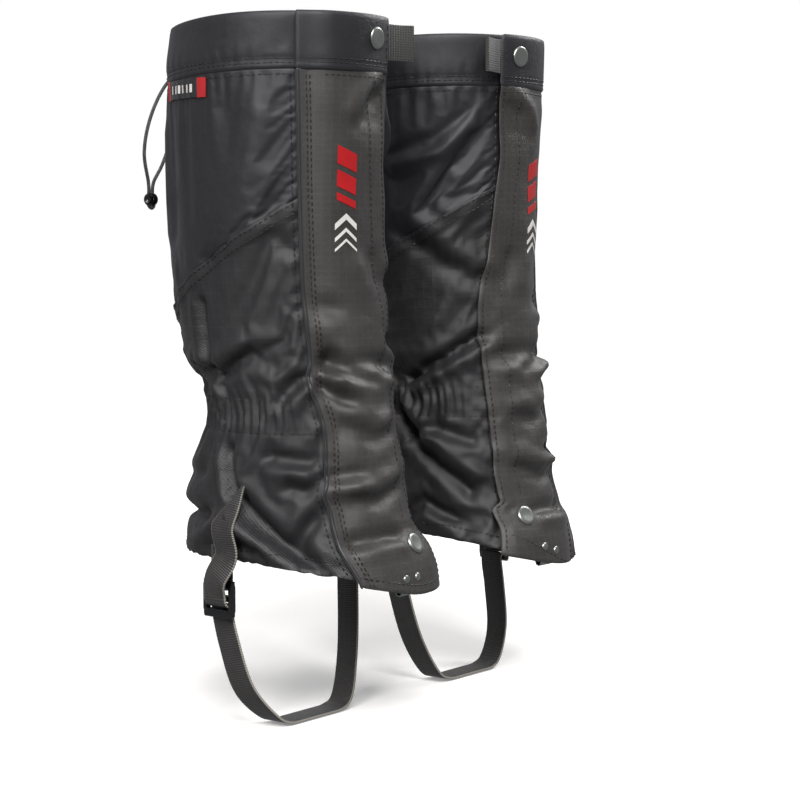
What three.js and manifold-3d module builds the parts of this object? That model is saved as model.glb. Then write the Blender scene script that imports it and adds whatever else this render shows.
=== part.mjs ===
// A pair of knee-high hiking gaiters, laced over boots. Millimetres, +Z up, the wearer faces -Y.
// The origin lies midway between the two legs, level with the underside of the instep straps.
// One gaiter is built in its own frame, +X to its outer side, and the other is its mirror image.
import * as THREE from 'three';
import * as BufferGeometryUtils from 'three/addons/utils/BufferGeometryUtils.js';
import Module from 'manifold-3d';

const wasm = await Module();
wasm.setup();

// ---- Driving dimensions ----

// Heights above the strap's underside
const TOP_HEIGHT = 482;
const COLLAR_HEIGHT = 36;
const ANKLE_HEIGHT = 217;
const HEM_HEIGHT = 109;
const HEM_DROP = 12; // the hem is this much lower at the toe
const HEM_RISE = 8; // and this much higher at the sides and the rear

// Half sizes of the sleeve, front to back and side to side
const CALF_FRONT = 78;
const CALF_SIDE = 72;
const ANKLE_FRONT = 66;
const ANKLE_SIDE = 56;
const HEM_FRONT = 88;
const HEM_SIDE = 60;
const ANKLE_SHIFT = 19; // the ankle lies this far in front of the calf
const HEM_SHIFT = 22;
const LEG_GAP = 32; // clear space between the two collars

// Cloth and layers
const CLOTH = 1.4;
const GAP = 0.3; // between two pieces that touch
const TAPE = 1.0;
const UNDERLAP_RISE = 13; // the underlap stops this far above the hem, clear of the lace hook
const LAYER_GAP = 0.7; // between two layers of curved cloth
const FLAP_RISE = 4.2; // the flap's inner face above the panels
const COLLAR_THICK = 2.2;

// Angles round the leg from the front, positive to the outer side, in degrees
const FLAP_SEAM_ANGLE = 36;
const FLAP_SEAM_ANKLE_ANGLE = 31;
const FLAP_SEAM_HEM_ANGLE = 25;
const FLAP_EDGE_ANGLE = -16;
const FLAP_EDGE_ANKLE_ANGLE = -31; // the flap keeps its width where the leg is thinner
const FLAP_EDGE_HEM_ANGLE = -22;
const COLLAR_SLIT_ANGLE = 24;

// Seam between the smooth upper cloth and the heavy lower cloth
const SEAM_FRONT_HEIGHT = 360;
const SEAM_REAR_HEIGHT = 265;

// Hardware
const SNAP_DIAMETER = 15;
const SNAP_THICK = 2.2;
const STUD_DIAMETER = 9;
const RIVET_DIAMETER = 6;
const RIVET_SPACING = 12;
const TAPE_WIDTH = 20;
const TAB_LENGTH = 24;
const TAB_WIDTH = 25;
const TAB_THICK = 1.6;
const STRAP_WIDTH = 20;
const STRAP_THICK = 2.0;
const BUCKLE_RAIL = 3;
const BUCKLE_HEIGHT = 24;
const BUCKLE_THICK = 4.6;
const BUCKLE_BAR = 4;
const CORD_DIAMETER = 2.5;
const LOCK_DIAMETER = 10;
const BUTTON_TRAVEL = 1.6;
const LABEL_LENGTH = 50;
const LABEL_HEIGHT = 12;

// ---- The sleeve's surface ----

const radians = THREE.MathUtils.degToRad;
const COLLAR_SEAM = TOP_HEIGHT - COLLAR_HEIGHT;
const KNEE_TO_ANKLE = COLLAR_SEAM - ANKLE_HEIGHT;

// Sections from the bottom up: height, half front, half side, forward shift, squareness
const SECTIONS = [
  [HEM_HEIGHT - 40, HEM_FRONT, HEM_SIDE, HEM_SHIFT + 2, 2.5],
  [HEM_HEIGHT, HEM_FRONT, HEM_SIDE, HEM_SHIFT, 2.5],
  [(2 * HEM_HEIGHT + ANKLE_HEIGHT) / 3, HEM_FRONT - 8, HEM_SIDE + 2, HEM_SHIFT - 8, 2.2],
  [(HEM_HEIGHT + 2 * ANKLE_HEIGHT) / 3, ANKLE_FRONT + 8, ANKLE_SIDE + 4, ANKLE_SHIFT - 4, 2.1],
  [ANKLE_HEIGHT, ANKLE_FRONT, ANKLE_SIDE, ANKLE_SHIFT, 2],
  [ANKLE_HEIGHT + 0.18 * KNEE_TO_ANKLE, CALF_FRONT - 6, CALF_SIDE - 10, ANKLE_SHIFT / 3, 2],
  [ANKLE_HEIGHT + 0.4 * KNEE_TO_ANKLE, CALF_FRONT - 3, CALF_SIDE - 6, 0, 2],
  [COLLAR_SEAM, CALF_FRONT, CALF_SIDE, 0, 2],
  [TOP_HEIGHT, CALF_FRONT + 1, CALF_SIDE + 1, 0, 2],
];

// A smooth curve through one column of the sections, level at both ends
function sectionValue(z, column) {
  const last = SECTIONS.length - 1;
  let i = 0;
  while (i < last - 1 && z > SECTIONS[i + 1][0]) i += 1;
  const [low, high] = [SECTIONS[i], SECTIONS[i + 1]];
  const span = high[0] - low[0];
  const t = THREE.MathUtils.clamp((z - low[0]) / span, 0, 1);
  const slope = (k) => {
    if (k <= 0 || k >= last) return 0;
    const [before, after] = [SECTIONS[k - 1], SECTIONS[k + 1]];
    return ((after[column] - before[column]) / (after[0] - before[0])) * span;
  };
  const [a, b] = [low[column], high[column]];
  const ease = t * t * (3 - 2 * t);
  return a + (b - a) * ease + slope(i) * t * (1 - t) ** 2 - slope(i + 1) * t * t * (1 - t);
}

// The point on the sleeve's outer face at an angle and a height, without its offset
function facePoint(angle, z) {
  const [front, side] = [sectionValue(z, 1), sectionValue(z, 2)];
  const [shift, square] = [sectionValue(z, 3), sectionValue(z, 4)];
  const across = (Math.abs(Math.sin(angle)) / side) ** square;
  const along = (Math.abs(Math.cos(angle)) / front) ** square;
  const radius = (across + along) ** (-1 / square);
  return new THREE.Vector3(radius * Math.sin(angle), -shift - radius * Math.cos(angle), z);
}

function faceNormal(angle, z) {
  const step = 0.01;
  const around = facePoint(angle + step, z).sub(facePoint(angle - step, z));
  return new THREE.Vector3(around.y, -around.x, 0).normalize();
}

function sleevePoint(angle, z, offset) {
  return facePoint(angle, z).addScaledVector(faceNormal(angle, z), offset);
}

// Axes on the sleeve's face for flat hardware: out of the cloth, up along it, and across
function faceAxes(angle, z) {
  const around = facePoint(angle + 0.01, z).sub(facePoint(angle - 0.01, z)).normalize();
  const rise = facePoint(angle, z + 4).sub(facePoint(angle, z - 4));
  const out = new THREE.Vector3().crossVectors(around, rise).normalize();
  const up = new THREE.Vector3().crossVectors(out, around).normalize();
  return { out, up, across: new THREE.Vector3().crossVectors(out, up) };
}

// The angle that a length takes up round the leg
function arcAngle(length, angle, z) {
  const centre = new THREE.Vector3(0, -sectionValue(z, 3), z);
  return length / facePoint(angle, z).distanceTo(centre);
}

function hemHeight(angle) {
  return HEM_HEIGHT + HEM_RISE - (HEM_DROP + HEM_RISE) * ((1 + Math.cos(angle)) / 2) ** 8;
}

// The share of the way from the hem to the ankle, and from the ankle to the collar
const hemShare = (z) => THREE.MathUtils.clamp((ANKLE_HEIGHT - z) / (ANKLE_HEIGHT - HEM_HEIGHT), 0, 1);
const calfShare = (z) => THREE.MathUtils.clamp((z - ANKLE_HEIGHT) / KNEE_TO_ANKLE, 0, 1);

function flapSeamAngle(z) {
  const upper = FLAP_SEAM_ANKLE_ANGLE + (FLAP_SEAM_ANGLE - FLAP_SEAM_ANKLE_ANGLE) * calfShare(z);
  return radians(upper + (FLAP_SEAM_HEM_ANGLE - FLAP_SEAM_ANKLE_ANGLE) * hemShare(z));
}

function flapEdgeAngle(z) {
  const nearAnkle = THREE.MathUtils.smoothstep(1 - calfShare(z), 0.2, 1);
  const upper = FLAP_EDGE_ANGLE + (FLAP_EDGE_ANKLE_ANGLE - FLAP_EDGE_ANGLE) * nearAnkle;
  return radians(upper + (FLAP_EDGE_HEM_ANGLE - FLAP_EDGE_ANKLE_ANGLE) * hemShare(z));
}

// The joint between the inner panels and the underlap, a little behind the flap's free edge
const underlapAngle = (z) => flapEdgeAngle(z) + arcAngle(4, 0, z);

// The number of grid rows that a piece of this height gets
const ROW_HEIGHT = 21;
const rowsFor = (height) => Math.max(2, Math.round(height / ROW_HEIGHT));

function clothSeamHeight(angle) {
  const share = (Math.abs(angle) - radians(FLAP_SEAM_ANGLE)) / (Math.PI - radians(FLAP_SEAM_ANGLE));
  return SEAM_FRONT_HEIGHT + (SEAM_REAR_HEIGHT - SEAM_FRONT_HEIGHT) * THREE.MathUtils.clamp(share, -0.3, 1);
}

// ---- Solids ----

// A closed slab from a grid of points on its outer side and the same grid on its inner side
function slabGeometry(columns, rows, outerPoint, innerPoint) {
  const positions = [];
  const indices = [];
  const count = (columns + 1) * (rows + 1);
  for (const pointAt of [outerPoint, innerPoint]) {
    for (let j = 0; j <= rows; j += 1) {
      for (let i = 0; i <= columns; i += 1) {
        positions.push(...pointAt(i / columns, j / rows).toArray());
      }
    }
  }
  const outer = (i, j) => j * (columns + 1) + i;
  const inner = (i, j) => count + outer(i, j);
  const quad = (a, b, c, d) => indices.push(a, b, c, a, c, d);
  for (let j = 0; j < rows; j += 1) {
    for (let i = 0; i < columns; i += 1) {
      quad(outer(i, j), outer(i + 1, j), outer(i + 1, j + 1), outer(i, j + 1));
      quad(inner(i, j), inner(i, j + 1), inner(i + 1, j + 1), inner(i + 1, j));
    }
    quad(outer(0, j), outer(0, j + 1), inner(0, j + 1), inner(0, j));
    quad(outer(columns, j + 1), outer(columns, j), inner(columns, j), inner(columns, j + 1));
  }
  for (let i = 0; i < columns; i += 1) {
    quad(outer(i + 1, 0), outer(i, 0), inner(i, 0), inner(i + 1, 0));
    quad(outer(i, rows), outer(i + 1, rows), inner(i + 1, rows), inner(i, rows));
  }
  const geometry = new THREE.BufferGeometry();
  geometry.setAttribute('position', new THREE.Float32BufferAttribute(positions, 3));
  geometry.setIndex(indices);
  return geometry;
}

// A cloth patch of the sleeve. from and to give its side angles at a height, bottom and top give
// its heights at an angle, and outside and inside its offsets at a share of its width and a height.
function patchGeometry({ from, to, bottom, top, outside, inside, columns, rows }) {
  const placed = (offsetAt) => (u, v) => {
    const guess = (from(ANKLE_HEIGHT) * (1 - u)) + to(ANKLE_HEIGHT) * u;
    let z = bottom(guess) * (1 - v) + top(guess) * v;
    let angle = guess;
    for (let pass = 0; pass < 3; pass += 1) {
      angle = from(z) * (1 - u) + to(z) * u;
      z = bottom(angle) * (1 - v) + top(angle) * v;
    }
    return sleevePoint(angle, z, offsetAt(u, z));
  };
  return slabGeometry(columns, rows, placed(outside), placed(inside));
}

// A strip of one width and thickness along a smooth path of [point, outward direction] stops
function stripGeometry(stops, width, thickness, steps) {
  const path = new THREE.CatmullRomCurve3(stops.map((stop) => stop[0]), false, 'centripetal');
  const facing = new THREE.CatmullRomCurve3(stops.map((stop) => stop[1]));
  const corner = (share, across, out) => {
    const along = path.getUtoTmapping(share);
    const normal = facing.getPoint(along).normalize();
    const tangent = path.getTangent(along);
    const sideways = new THREE.Vector3().crossVectors(tangent, normal).normalize();
    const outward = new THREE.Vector3().crossVectors(sideways, tangent).normalize();
    return path.getPoint(along)
      .addScaledVector(sideways, (across - 0.5) * width)
      .addScaledVector(outward, out * thickness);
  };
  return slabGeometry(1, steps, (u, v) => corner(v, u, 1), (u, v) => corner(v, u, 0));
}

// A turned solid about +Z from [radius, height] points that start and end on the axis
function turnedGeometry(profile, sides) {
  const points = profile.map(([radius, height]) => new THREE.Vector2(radius, height));
  return new THREE.LatheGeometry(points, sides).rotateX(Math.PI / 2);
}

function discGeometry(diameter, thickness, edge, sides) {
  const radius = diameter / 2;
  const profile = [[0, 0], [radius, 0], [radius, thickness - edge], [radius - edge, thickness], [0, thickness]];
  return turnedGeometry(profile, sides);
}

function toManifold(geometry) {
  const bare = geometry.clone();
  bare.deleteAttribute('normal');
  bare.deleteAttribute('uv');
  const merged = BufferGeometryUtils.mergeVertices(bare, 1e-5);
  const mesh = new wasm.Mesh({
    numProp: 3,
    vertProperties: new Float32Array(merged.attributes.position.array),
    triVerts: new Uint32Array(merged.index.array),
  });
  return new wasm.Manifold(mesh);
}

function fromManifold(solid) {
  const mesh = solid.getMesh();
  const geometry = new THREE.BufferGeometry();
  geometry.setAttribute('position', new THREE.BufferAttribute(mesh.vertProperties, 3));
  geometry.setIndex(new THREE.BufferAttribute(mesh.triVerts, 1));
  return geometry;
}

// ---- Materials ----

const finish = (color, roughness, metalness = 0) => {
  const surface = { color, roughness, metalness };
  return new THREE.MeshStandardMaterial(surface);
};
const SMOOTH_NYLON = finish(0x3e3d42, 0.55);
const HEAVY_RIPSTOP = finish(0x424041, 0.75);
const FLAP_RIPSTOP = finish(0x4a4846, 0.65);
const WEBBING = finish(0x34332f, 0.8);
const TAPE_BLACK = finish(0x151517, 0.9);
const COATED_WEBBING = finish(0x3c3936, 0.5);
const NICKEL = finish(0xb9bdb8, 0.3, 1);
const STEEL = finish(0x8d9090, 0.35, 1);
const GLOSSY_PLASTIC = finish(0x0c0c0d, 0.25);
const ELASTIC = finish(0x121212, 0.7);
const LABEL_CLOTH = finish(0x141414, 0.8);

// ---- One gaiter ----

// Turns a solid's +Z to a direction and moves its base to a point
function placed(mesh, point, direction) {
  mesh.position.copy(point);
  mesh.quaternion.setFromUnitVectors(new THREE.Vector3(0, 0, 1), direction);
  return mesh;
}

function gaiter(side) {
  const group = new THREE.Group();
  const add = (name, geometry, material) => {
    const mesh = new THREE.Mesh(geometry, material);
    mesh.name = `${side}_${name}`;
    group.add(mesh);
    return mesh;
  };
  const halfGap = (z) => arcAngle(GAP / 2, 0, z);
  const level = (height) => () => height;
  const flat = (offset) => () => offset;
  const cloth = { outside: flat(0), inside: flat(-CLOTH) };
  const rear = (z) => Math.PI - halfGap(z);

  // Collar and the four panels
  const collarRise = 0.6;
  const slit = radians(COLLAR_SLIT_ANGLE);
  add('collar', patchGeometry({
    from: (z) => slit + halfGap(z),
    to: (z) => slit + 2 * Math.PI - halfGap(z),
    bottom: level(COLLAR_SEAM), top: level(TOP_HEIGHT),
    outside: flat(collarRise), inside: flat(collarRise - COLLAR_THICK), columns: 36, rows: 1,
  }), SMOOTH_NYLON);

  const outerFront = (z) => flapSeamAngle(z);
  const innerFront = (z) => underlapAngle(z) - halfGap(z);
  const upperRows = rowsFor(COLLAR_SEAM - SEAM_REAR_HEIGHT) - 1;
  const upper = { bottom: (a) => clothSeamHeight(a) + GAP, top: level(COLLAR_SEAM - GAP), rows: upperRows };
  const lower = { bottom: hemHeight, top: clothSeamHeight, rows: 10 };
  const outerSide = { from: outerFront, to: rear, columns: 11 };
  const innerSide = { from: (z) => -rear(z), to: innerFront, columns: 12 };
  add('upper_outer_panel', patchGeometry({ ...cloth, ...upper, ...outerSide }), SMOOTH_NYLON);
  add('upper_inner_panel', patchGeometry({ ...cloth, ...upper, ...innerSide }), SMOOTH_NYLON);
  add('lower_outer_panel', patchGeometry({ ...cloth, ...lower, ...outerSide }), HEAVY_RIPSTOP);
  add('lower_inner_panel', patchGeometry({ ...cloth, ...lower, ...innerSide }), HEAVY_RIPSTOP);
  add('underlap', patchGeometry({
    ...cloth,
    from: (z) => underlapAngle(z) + arcAngle(LAYER_GAP, 0, z),
    to: (z) => outerFront(z) - arcAngle(LAYER_GAP, 0, z),
    bottom: (a) => hemHeight(a) + UNDERLAP_RISE, top: level(COLLAR_SEAM - GAP),
    columns: 6, rows: rowsFor(COLLAR_SEAM - HEM_HEIGHT),
  }), SMOOTH_NYLON);

  // Ankle elastic inside the panels
  const elasticHeight = 20;
  add('ankle_elastic', patchGeometry({
    from: (z) => flapSeamAngle(z) + arcAngle(6, 0, z),
    to: (z) => 2 * Math.PI + underlapAngle(z) - arcAngle(6, 0, z),
    bottom: level(ANKLE_HEIGHT - elasticHeight / 2), top: level(ANKLE_HEIGHT + elasticHeight / 2),
    outside: flat(-CLOTH - 2 * LAYER_GAP), inside: flat(-CLOTH - 2 * LAYER_GAP - 1.2), columns: 24, rows: 2,
  }), ELASTIC);

  // Front flap: raised off the tapes, and brought down onto the outer panels at its seam
  const lapRise = 1.35;
  const flapInside = (u) => {
    const down = THREE.MathUtils.smoothstep(u, 0.68, 0.94);
    return FLAP_RISE + (lapRise - FLAP_RISE) * down;
  };
  const flapSides = {
    from: flapEdgeAngle,
    to: (z) => flapSeamAngle(z) + arcAngle(1, 0, z),
    inside: flapInside,
    outside: (u) => flapInside(u) + CLOTH,
  };
  const flapDrop = 4;
  add('front_flap', patchGeometry({
    ...flapSides,
    bottom: (a) => hemHeight(a) - flapDrop, top: level(COLLAR_SEAM - GAP),
    columns: 9, rows: rowsFor(COLLAR_SEAM - HEM_HEIGHT),
  }), FLAP_RIPSTOP);
  const collarEndLift = 0.4;
  add('collar_end', patchGeometry({
    ...flapSides,
    inside: (u) => flapInside(u) + collarEndLift,
    outside: (u) => flapInside(u) + collarEndLift + COLLAR_THICK,
    bottom: level(COLLAR_SEAM), top: level(TOP_HEIGHT), columns: 9, rows: 1,
  }), SMOOTH_NYLON);

  // Hook and loop tapes, one on the flap and one on the underlap
  const tapeEdge = (z) => underlapAngle(z) + arcAngle(3, 0, z);
  const tapeSides = {
    from: tapeEdge,
    to: (z) => tapeEdge(z) + arcAngle(TAPE_WIDTH, 0, z),
    bottom: (a) => hemHeight(a) + 36, top: level(COLLAR_SEAM - 8),
    columns: 2, rows: rowsFor(COLLAR_SEAM - HEM_HEIGHT - 36),
  };
  add('loop_tape', patchGeometry({
    ...tapeSides, inside: flat(LAYER_GAP), outside: flat(LAYER_GAP + TAPE),
  }), TAPE_BLACK);
  add('hook_tape', patchGeometry({
    ...tapeSides,
    inside: flat(FLAP_RISE - 1.5 * LAYER_GAP - TAPE), outside: flat(FLAP_RISE - 1.5 * LAYER_GAP),
  }), TAPE_BLACK);

  // Snaps: a cap on the flap's outer face, a stud on the layer below it
  const snap = (name, angle, z, capOffset, studOffset, studThick) => {
    const { out } = faceAxes(angle, z);
    const cap = discGeometry(SNAP_DIAMETER, SNAP_THICK, 0.8, 20);
    placed(add(`${name}_cap`, cap, NICKEL), sleevePoint(angle, z, capOffset + LAYER_GAP), out);
    const stud = discGeometry(STUD_DIAMETER, studThick, 0.3, 16);
    placed(add(`${name}_stud`, stud, NICKEL), sleevePoint(angle, z, studOffset + LAYER_GAP), out);
  };
  const collarSnapHeight = COLLAR_SEAM + COLLAR_HEIGHT * 0.6;
  const collarEndFace = FLAP_RISE + collarEndLift + COLLAR_THICK;
  const collarSnapAngle = flapEdgeAngle(COLLAR_SEAM) + arcAngle(SNAP_DIAMETER, 0, COLLAR_SEAM);
  const snapSpace = 3 * LAYER_GAP;
  snap('collar_snap', collarSnapAngle, collarSnapHeight, collarEndFace, collarRise,
    FLAP_RISE + collarEndLift - collarRise - snapSpace);
  const hemSnapHeight = HEM_HEIGHT + 16;
  const hemSnapAngle = flapEdgeAngle(hemSnapHeight) + arcAngle(SNAP_DIAMETER, 0, hemSnapHeight);
  snap('hem_snap', hemSnapAngle, hemSnapHeight, FLAP_RISE + CLOTH, 0, FLAP_RISE - snapSpace);

  // Pull tab: a straight ribbed strip that flares outwards from the collar's free corner
  const tabHeight = collarSnapHeight - 1;
  const tabAngle = flapEdgeAngle(tabHeight);
  const tabNormal = faceNormal(tabAngle, tabHeight);
  const tabFlare = radians(28);
  const tabWay = new THREE.Vector3(tabNormal.y, -tabNormal.x, 0).multiplyScalar(Math.cos(tabFlare))
    .addScaledVector(tabNormal, Math.sin(tabFlare));
  const tab = add('pull_tab', new THREE.BoxGeometry(TAB_LENGTH, TAB_THICK, TAB_WIDTH), WEBBING);
  const tabOffset = FLAP_RISE + collarEndLift + COLLAR_THICK / 2;
  tab.position.copy(sleevePoint(tabAngle, tabHeight, tabOffset))
    .addScaledVector(tabWay, TAB_LENGTH / 2 + GAP + 0.2);
  tab.rotation.z = Math.atan2(tabWay.y, tabWay.x);

  // Lace hook behind the flap's bottom edge, held by two rivets through the flap
  const hookHeight = HEM_HEIGHT - 3;
  const hookAngle = radians(-5);
  const hookOut = faceNormal(hookAngle, hookHeight);
  const hookAcross = new THREE.Vector3(hookOut.y, -hookOut.x, 0);
  const plateHalf = RIVET_SPACING / 2 + RIVET_DIAMETER / 2 + 1;
  const hookThick = 1.2;
  const hookReach = 6;
  const hookTop = 3;
  const hookFoot = HEM_HEIGHT - HEM_DROP - flapDrop + 1 - hookHeight;
  const plate = new THREE.Shape();
  plate.moveTo(-hookThick, hookTop);
  plate.lineTo(-hookThick, hookFoot + hookThick);
  plate.lineTo(-hookReach + hookThick, hookFoot + hookThick);
  plate.lineTo(-hookReach + hookThick, hookFoot + hookReach);
  plate.lineTo(-hookReach, hookFoot + hookReach);
  plate.lineTo(-hookReach, hookFoot);
  plate.lineTo(0, hookFoot);
  plate.lineTo(0, hookTop);
  plate.closePath();
  const hook = new THREE.ExtrudeGeometry(plate, { depth: 2 * plateHalf, bevelEnabled: false });
  hook.translate(0, 0, -plateHalf);
  hook.applyMatrix4(new THREE.Matrix4().makeBasis(hookOut, new THREE.Vector3(0, 0, 1), hookAcross));
  const hookSeat = FLAP_RISE - 4 * LAYER_GAP;
  add('lace_hook', hook, STEEL).position.copy(sleevePoint(hookAngle, hookHeight, hookSeat));
  for (const [index, way] of [-0.5, 0.5].entries()) {
    const angle = hookAngle + arcAngle(way * RIVET_SPACING, 0, hookHeight);
    const rivet = discGeometry(RIVET_DIAMETER, 1.4, 0.5, 12);
    const foot = sleevePoint(angle, hookHeight, FLAP_RISE + CLOTH - LAYER_GAP / 2);
    placed(add(`hook_rivet_${index + 1}`, rivet, NICKEL), foot, faceAxes(angle, hookHeight).out);
  }

  // Buckle on its webbing loop under the outer hem
  const buckleAngle = radians(104);
  const hemFoot = facePoint(buckleAngle, HEM_HEIGHT);
  const out = new THREE.Vector3(1, 0, 0);
  const loopDrop = 10.65; // the loop's fold is this far below the hem's own height
  const hemLow = hemHeight(buckleAngle);
  const barTurn = Math.hypot(BUCKLE_THICK, BUCKLE_BAR) / 2 + GAP / 2; // the bar turns inside its loop
  const barHeight = HEM_HEIGHT - loopDrop + barTurn;
  const hemWidest = Math.max(...[0, 10, 20].map((rise) => sectionValue(HEM_HEIGHT + rise, 2)));
  const loopThick = 1.2;
  const loopHalf = barTurn + loopThick;
  const buckleX = hemWidest + LAYER_GAP + loopHalf;
  const slotHeight = (BUCKLE_HEIGHT - 3 * BUCKLE_BAR) / 2;
  const slotWidth = STRAP_WIDTH + 1;
  const frameBox = new THREE.BoxGeometry(BUCKLE_THICK, slotWidth + 2 * BUCKLE_RAIL, BUCKLE_HEIGHT);
  const slotBox = new THREE.BoxGeometry(2 * BUCKLE_THICK, slotWidth, slotHeight);
  const slotRise = (BUCKLE_BAR + slotHeight) / 2;
  const frame = toManifold(frameBox)
    .subtract(toManifold(slotBox.clone().translate(0, 0, slotRise)))
    .subtract(toManifold(slotBox.clone().translate(0, 0, -slotRise)));
  const buckle = add('buckle', fromManifold(frame), GLOSSY_PLASTIC);
  buckle.position.set(buckleX, hemFoot.y, barHeight - (BUCKLE_HEIGHT - BUCKLE_BAR) / 2);

  // The loop: sewn outside the hem, round the buckle's top bar and back up
  const loopShape = new THREE.Shape();
  loopShape.moveTo(-loopHalf, hemLow + 14);
  loopShape.lineTo(-loopHalf, barHeight - loopHalf);
  loopShape.lineTo(loopHalf, barHeight - loopHalf);
  loopShape.lineTo(loopHalf, barHeight + loopHalf + 1);
  loopShape.lineTo(loopThick - loopHalf, barHeight + loopHalf + 4);
  loopShape.lineTo(loopThick - loopHalf, hemLow + 14);
  loopShape.closePath();
  const window = new THREE.Path();
  window.moveTo(-barTurn, barHeight - barTurn);
  window.lineTo(barTurn, barHeight - barTurn);
  window.lineTo(barTurn, barHeight + barTurn);
  window.lineTo(-barTurn, barHeight + barTurn);
  window.closePath();
  loopShape.holes.push(window);
  const loopDepth = STRAP_WIDTH - 2;
  const loop = new THREE.ExtrudeGeometry(loopShape, { depth: loopDepth, bevelEnabled: false });
  loop.translate(0, 0, -loopDepth / 2);
  loop.rotateX(Math.PI / 2);
  const loopMesh = add('buckle_loop', loop, WEBBING);
  loopMesh.position.set(buckleX, hemFoot.y, 0);

  // Instep strap: from the buckle, under the arch of the boot and up to the inner hem
  const strapY = hemFoot.y;
  const archY = strapY - 20;
  const archHalf = 26;
  const anchorTop = HEM_HEIGHT + HEM_RISE + 20;
  const innerFace = -(sectionValue(anchorTop + 2, 2) + LAYER_GAP);
  const outward = (x, z) => new THREE.Vector3(x, 0, z);
  const arch = (x, rise = 0) => [new THREE.Vector3(x, archY, STRAP_THICK + rise), outward(x / 200, -1)];
  const buckleFoot = buckle.position.z - BUCKLE_HEIGHT / 2;
  const stops = [
    [new THREE.Vector3(buckleX - BUCKLE_THICK / 2 - STRAP_THICK - GAP, strapY, buckleFoot + 2), out],
    [new THREE.Vector3(buckleX - 6, strapY - 4, buckleFoot * 0.75), out],
    [new THREE.Vector3(buckleX - 13, strapY - 12, buckleFoot * 0.33), out],
    [new THREE.Vector3(archHalf + 9, archY + 1, STRAP_THICK + 4), outward(0.8, -0.6)],
    arch(archHalf, 0.6),
    arch(archHalf - 5),
    arch(archHalf - 10),
    arch(10 - archHalf),
    arch(5 - archHalf),
    arch(-archHalf, 0.6),
    [new THREE.Vector3(-archHalf - 9, archY + 1, STRAP_THICK + 4), outward(-0.8, -0.6)],
    [new THREE.Vector3(innerFace + 13, strapY - 12, HEM_HEIGHT * 0.3), outward(-1, 0)],
    [new THREE.Vector3(innerFace + 2, strapY - 3, HEM_HEIGHT * 0.8), outward(-1, 0)],
    [new THREE.Vector3(innerFace, strapY, HEM_HEIGHT + 3), outward(-1, 0)],
    [new THREE.Vector3(innerFace, strapY, anchorTop), outward(-1, 0)],
  ];
  add('instep_strap', stripGeometry(stops, STRAP_WIDTH, STRAP_THICK, 44), COATED_WEBBING);
  const anchorSize = [1.6, STRAP_WIDTH + 8, 20];
  const patch = add('strap_anchor', new THREE.BoxGeometry(...anchorSize), WEBBING);
  patch.position.set(innerFace - STRAP_THICK - LAYER_GAP - anchorSize[0] / 2, strapY, anchorTop - 9);

  // Free tail of the strap, up the outside of the sleeve from the buckle
  const tailStart = barHeight + loopHalf;
  const tailStop = (height, lean, lift) => {
    const foot = new THREE.Vector3(0, strapY - lean, height);
    const angle = Math.atan2(1, (lean - strapY - sectionValue(height, 3)) / sectionValue(height, 2));
    foot.x = sleevePoint(angle, height, lift).x;
    return [foot, faceNormal(angle, height)];
  };
  const tail = [
    [new THREE.Vector3(buckleX + loopHalf + GAP, strapY, tailStart), out],
    tailStop(HEM_HEIGHT + 17, 5, 2 * loopHalf + 2),
    tailStop(HEM_HEIGHT + 38, 12, 5),
    tailStop(HEM_HEIGHT + 60, 16, 5),
  ];
  add('strap_tail', stripGeometry(tail, STRAP_WIDTH, STRAP_THICK, 12), COATED_WEBBING);

  // Side label, sewn under the collar towards the rear
  const labelMiddle = radians(107);
  const labelHalf = (z) => arcAngle(LABEL_LENGTH / 2, labelMiddle, z);
  add('side_label', patchGeometry({
    from: (z) => labelMiddle - labelHalf(z),
    to: (z) => labelMiddle + labelHalf(z),
    bottom: level(COLLAR_SEAM - 2 - LABEL_HEIGHT), top: level(COLLAR_SEAM - 2),
    outside: flat(GAP + 0.8), inside: flat(GAP), columns: 5, rows: 1,
  }), LABEL_CLOTH);

  // Drawcord: two strands out of an eyelet in the collar's rear, down to the lock and back
  const strandHalf = CORD_DIAMETER / 2 + 0.25;
  const eyeletAngle = radians(170);
  const eyeletHeight = COLLAR_SEAM + 9;
  const eyeletHole = strandHalf + CORD_DIAMETER / 2 + 0.6;
  const eyeletRim = eyeletHole + 2;
  const eyeletThick = 1.2;
  const eyeletAxes = faceAxes(eyeletAngle, eyeletHeight);
  const eyeletProfile = [
    [eyeletHole, 0], [eyeletRim, 0], [eyeletRim, eyeletThick / 2],
    [eyeletRim - 0.6, eyeletThick], [eyeletHole, eyeletThick], [eyeletHole, 0],
  ];
  const eyeletFoot = sleevePoint(eyeletAngle, eyeletHeight, collarRise + GAP);
  placed(add('cord_eyelet', turnedGeometry(eyeletProfile, 16), NICKEL), eyeletFoot, eyeletAxes.out);

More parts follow.
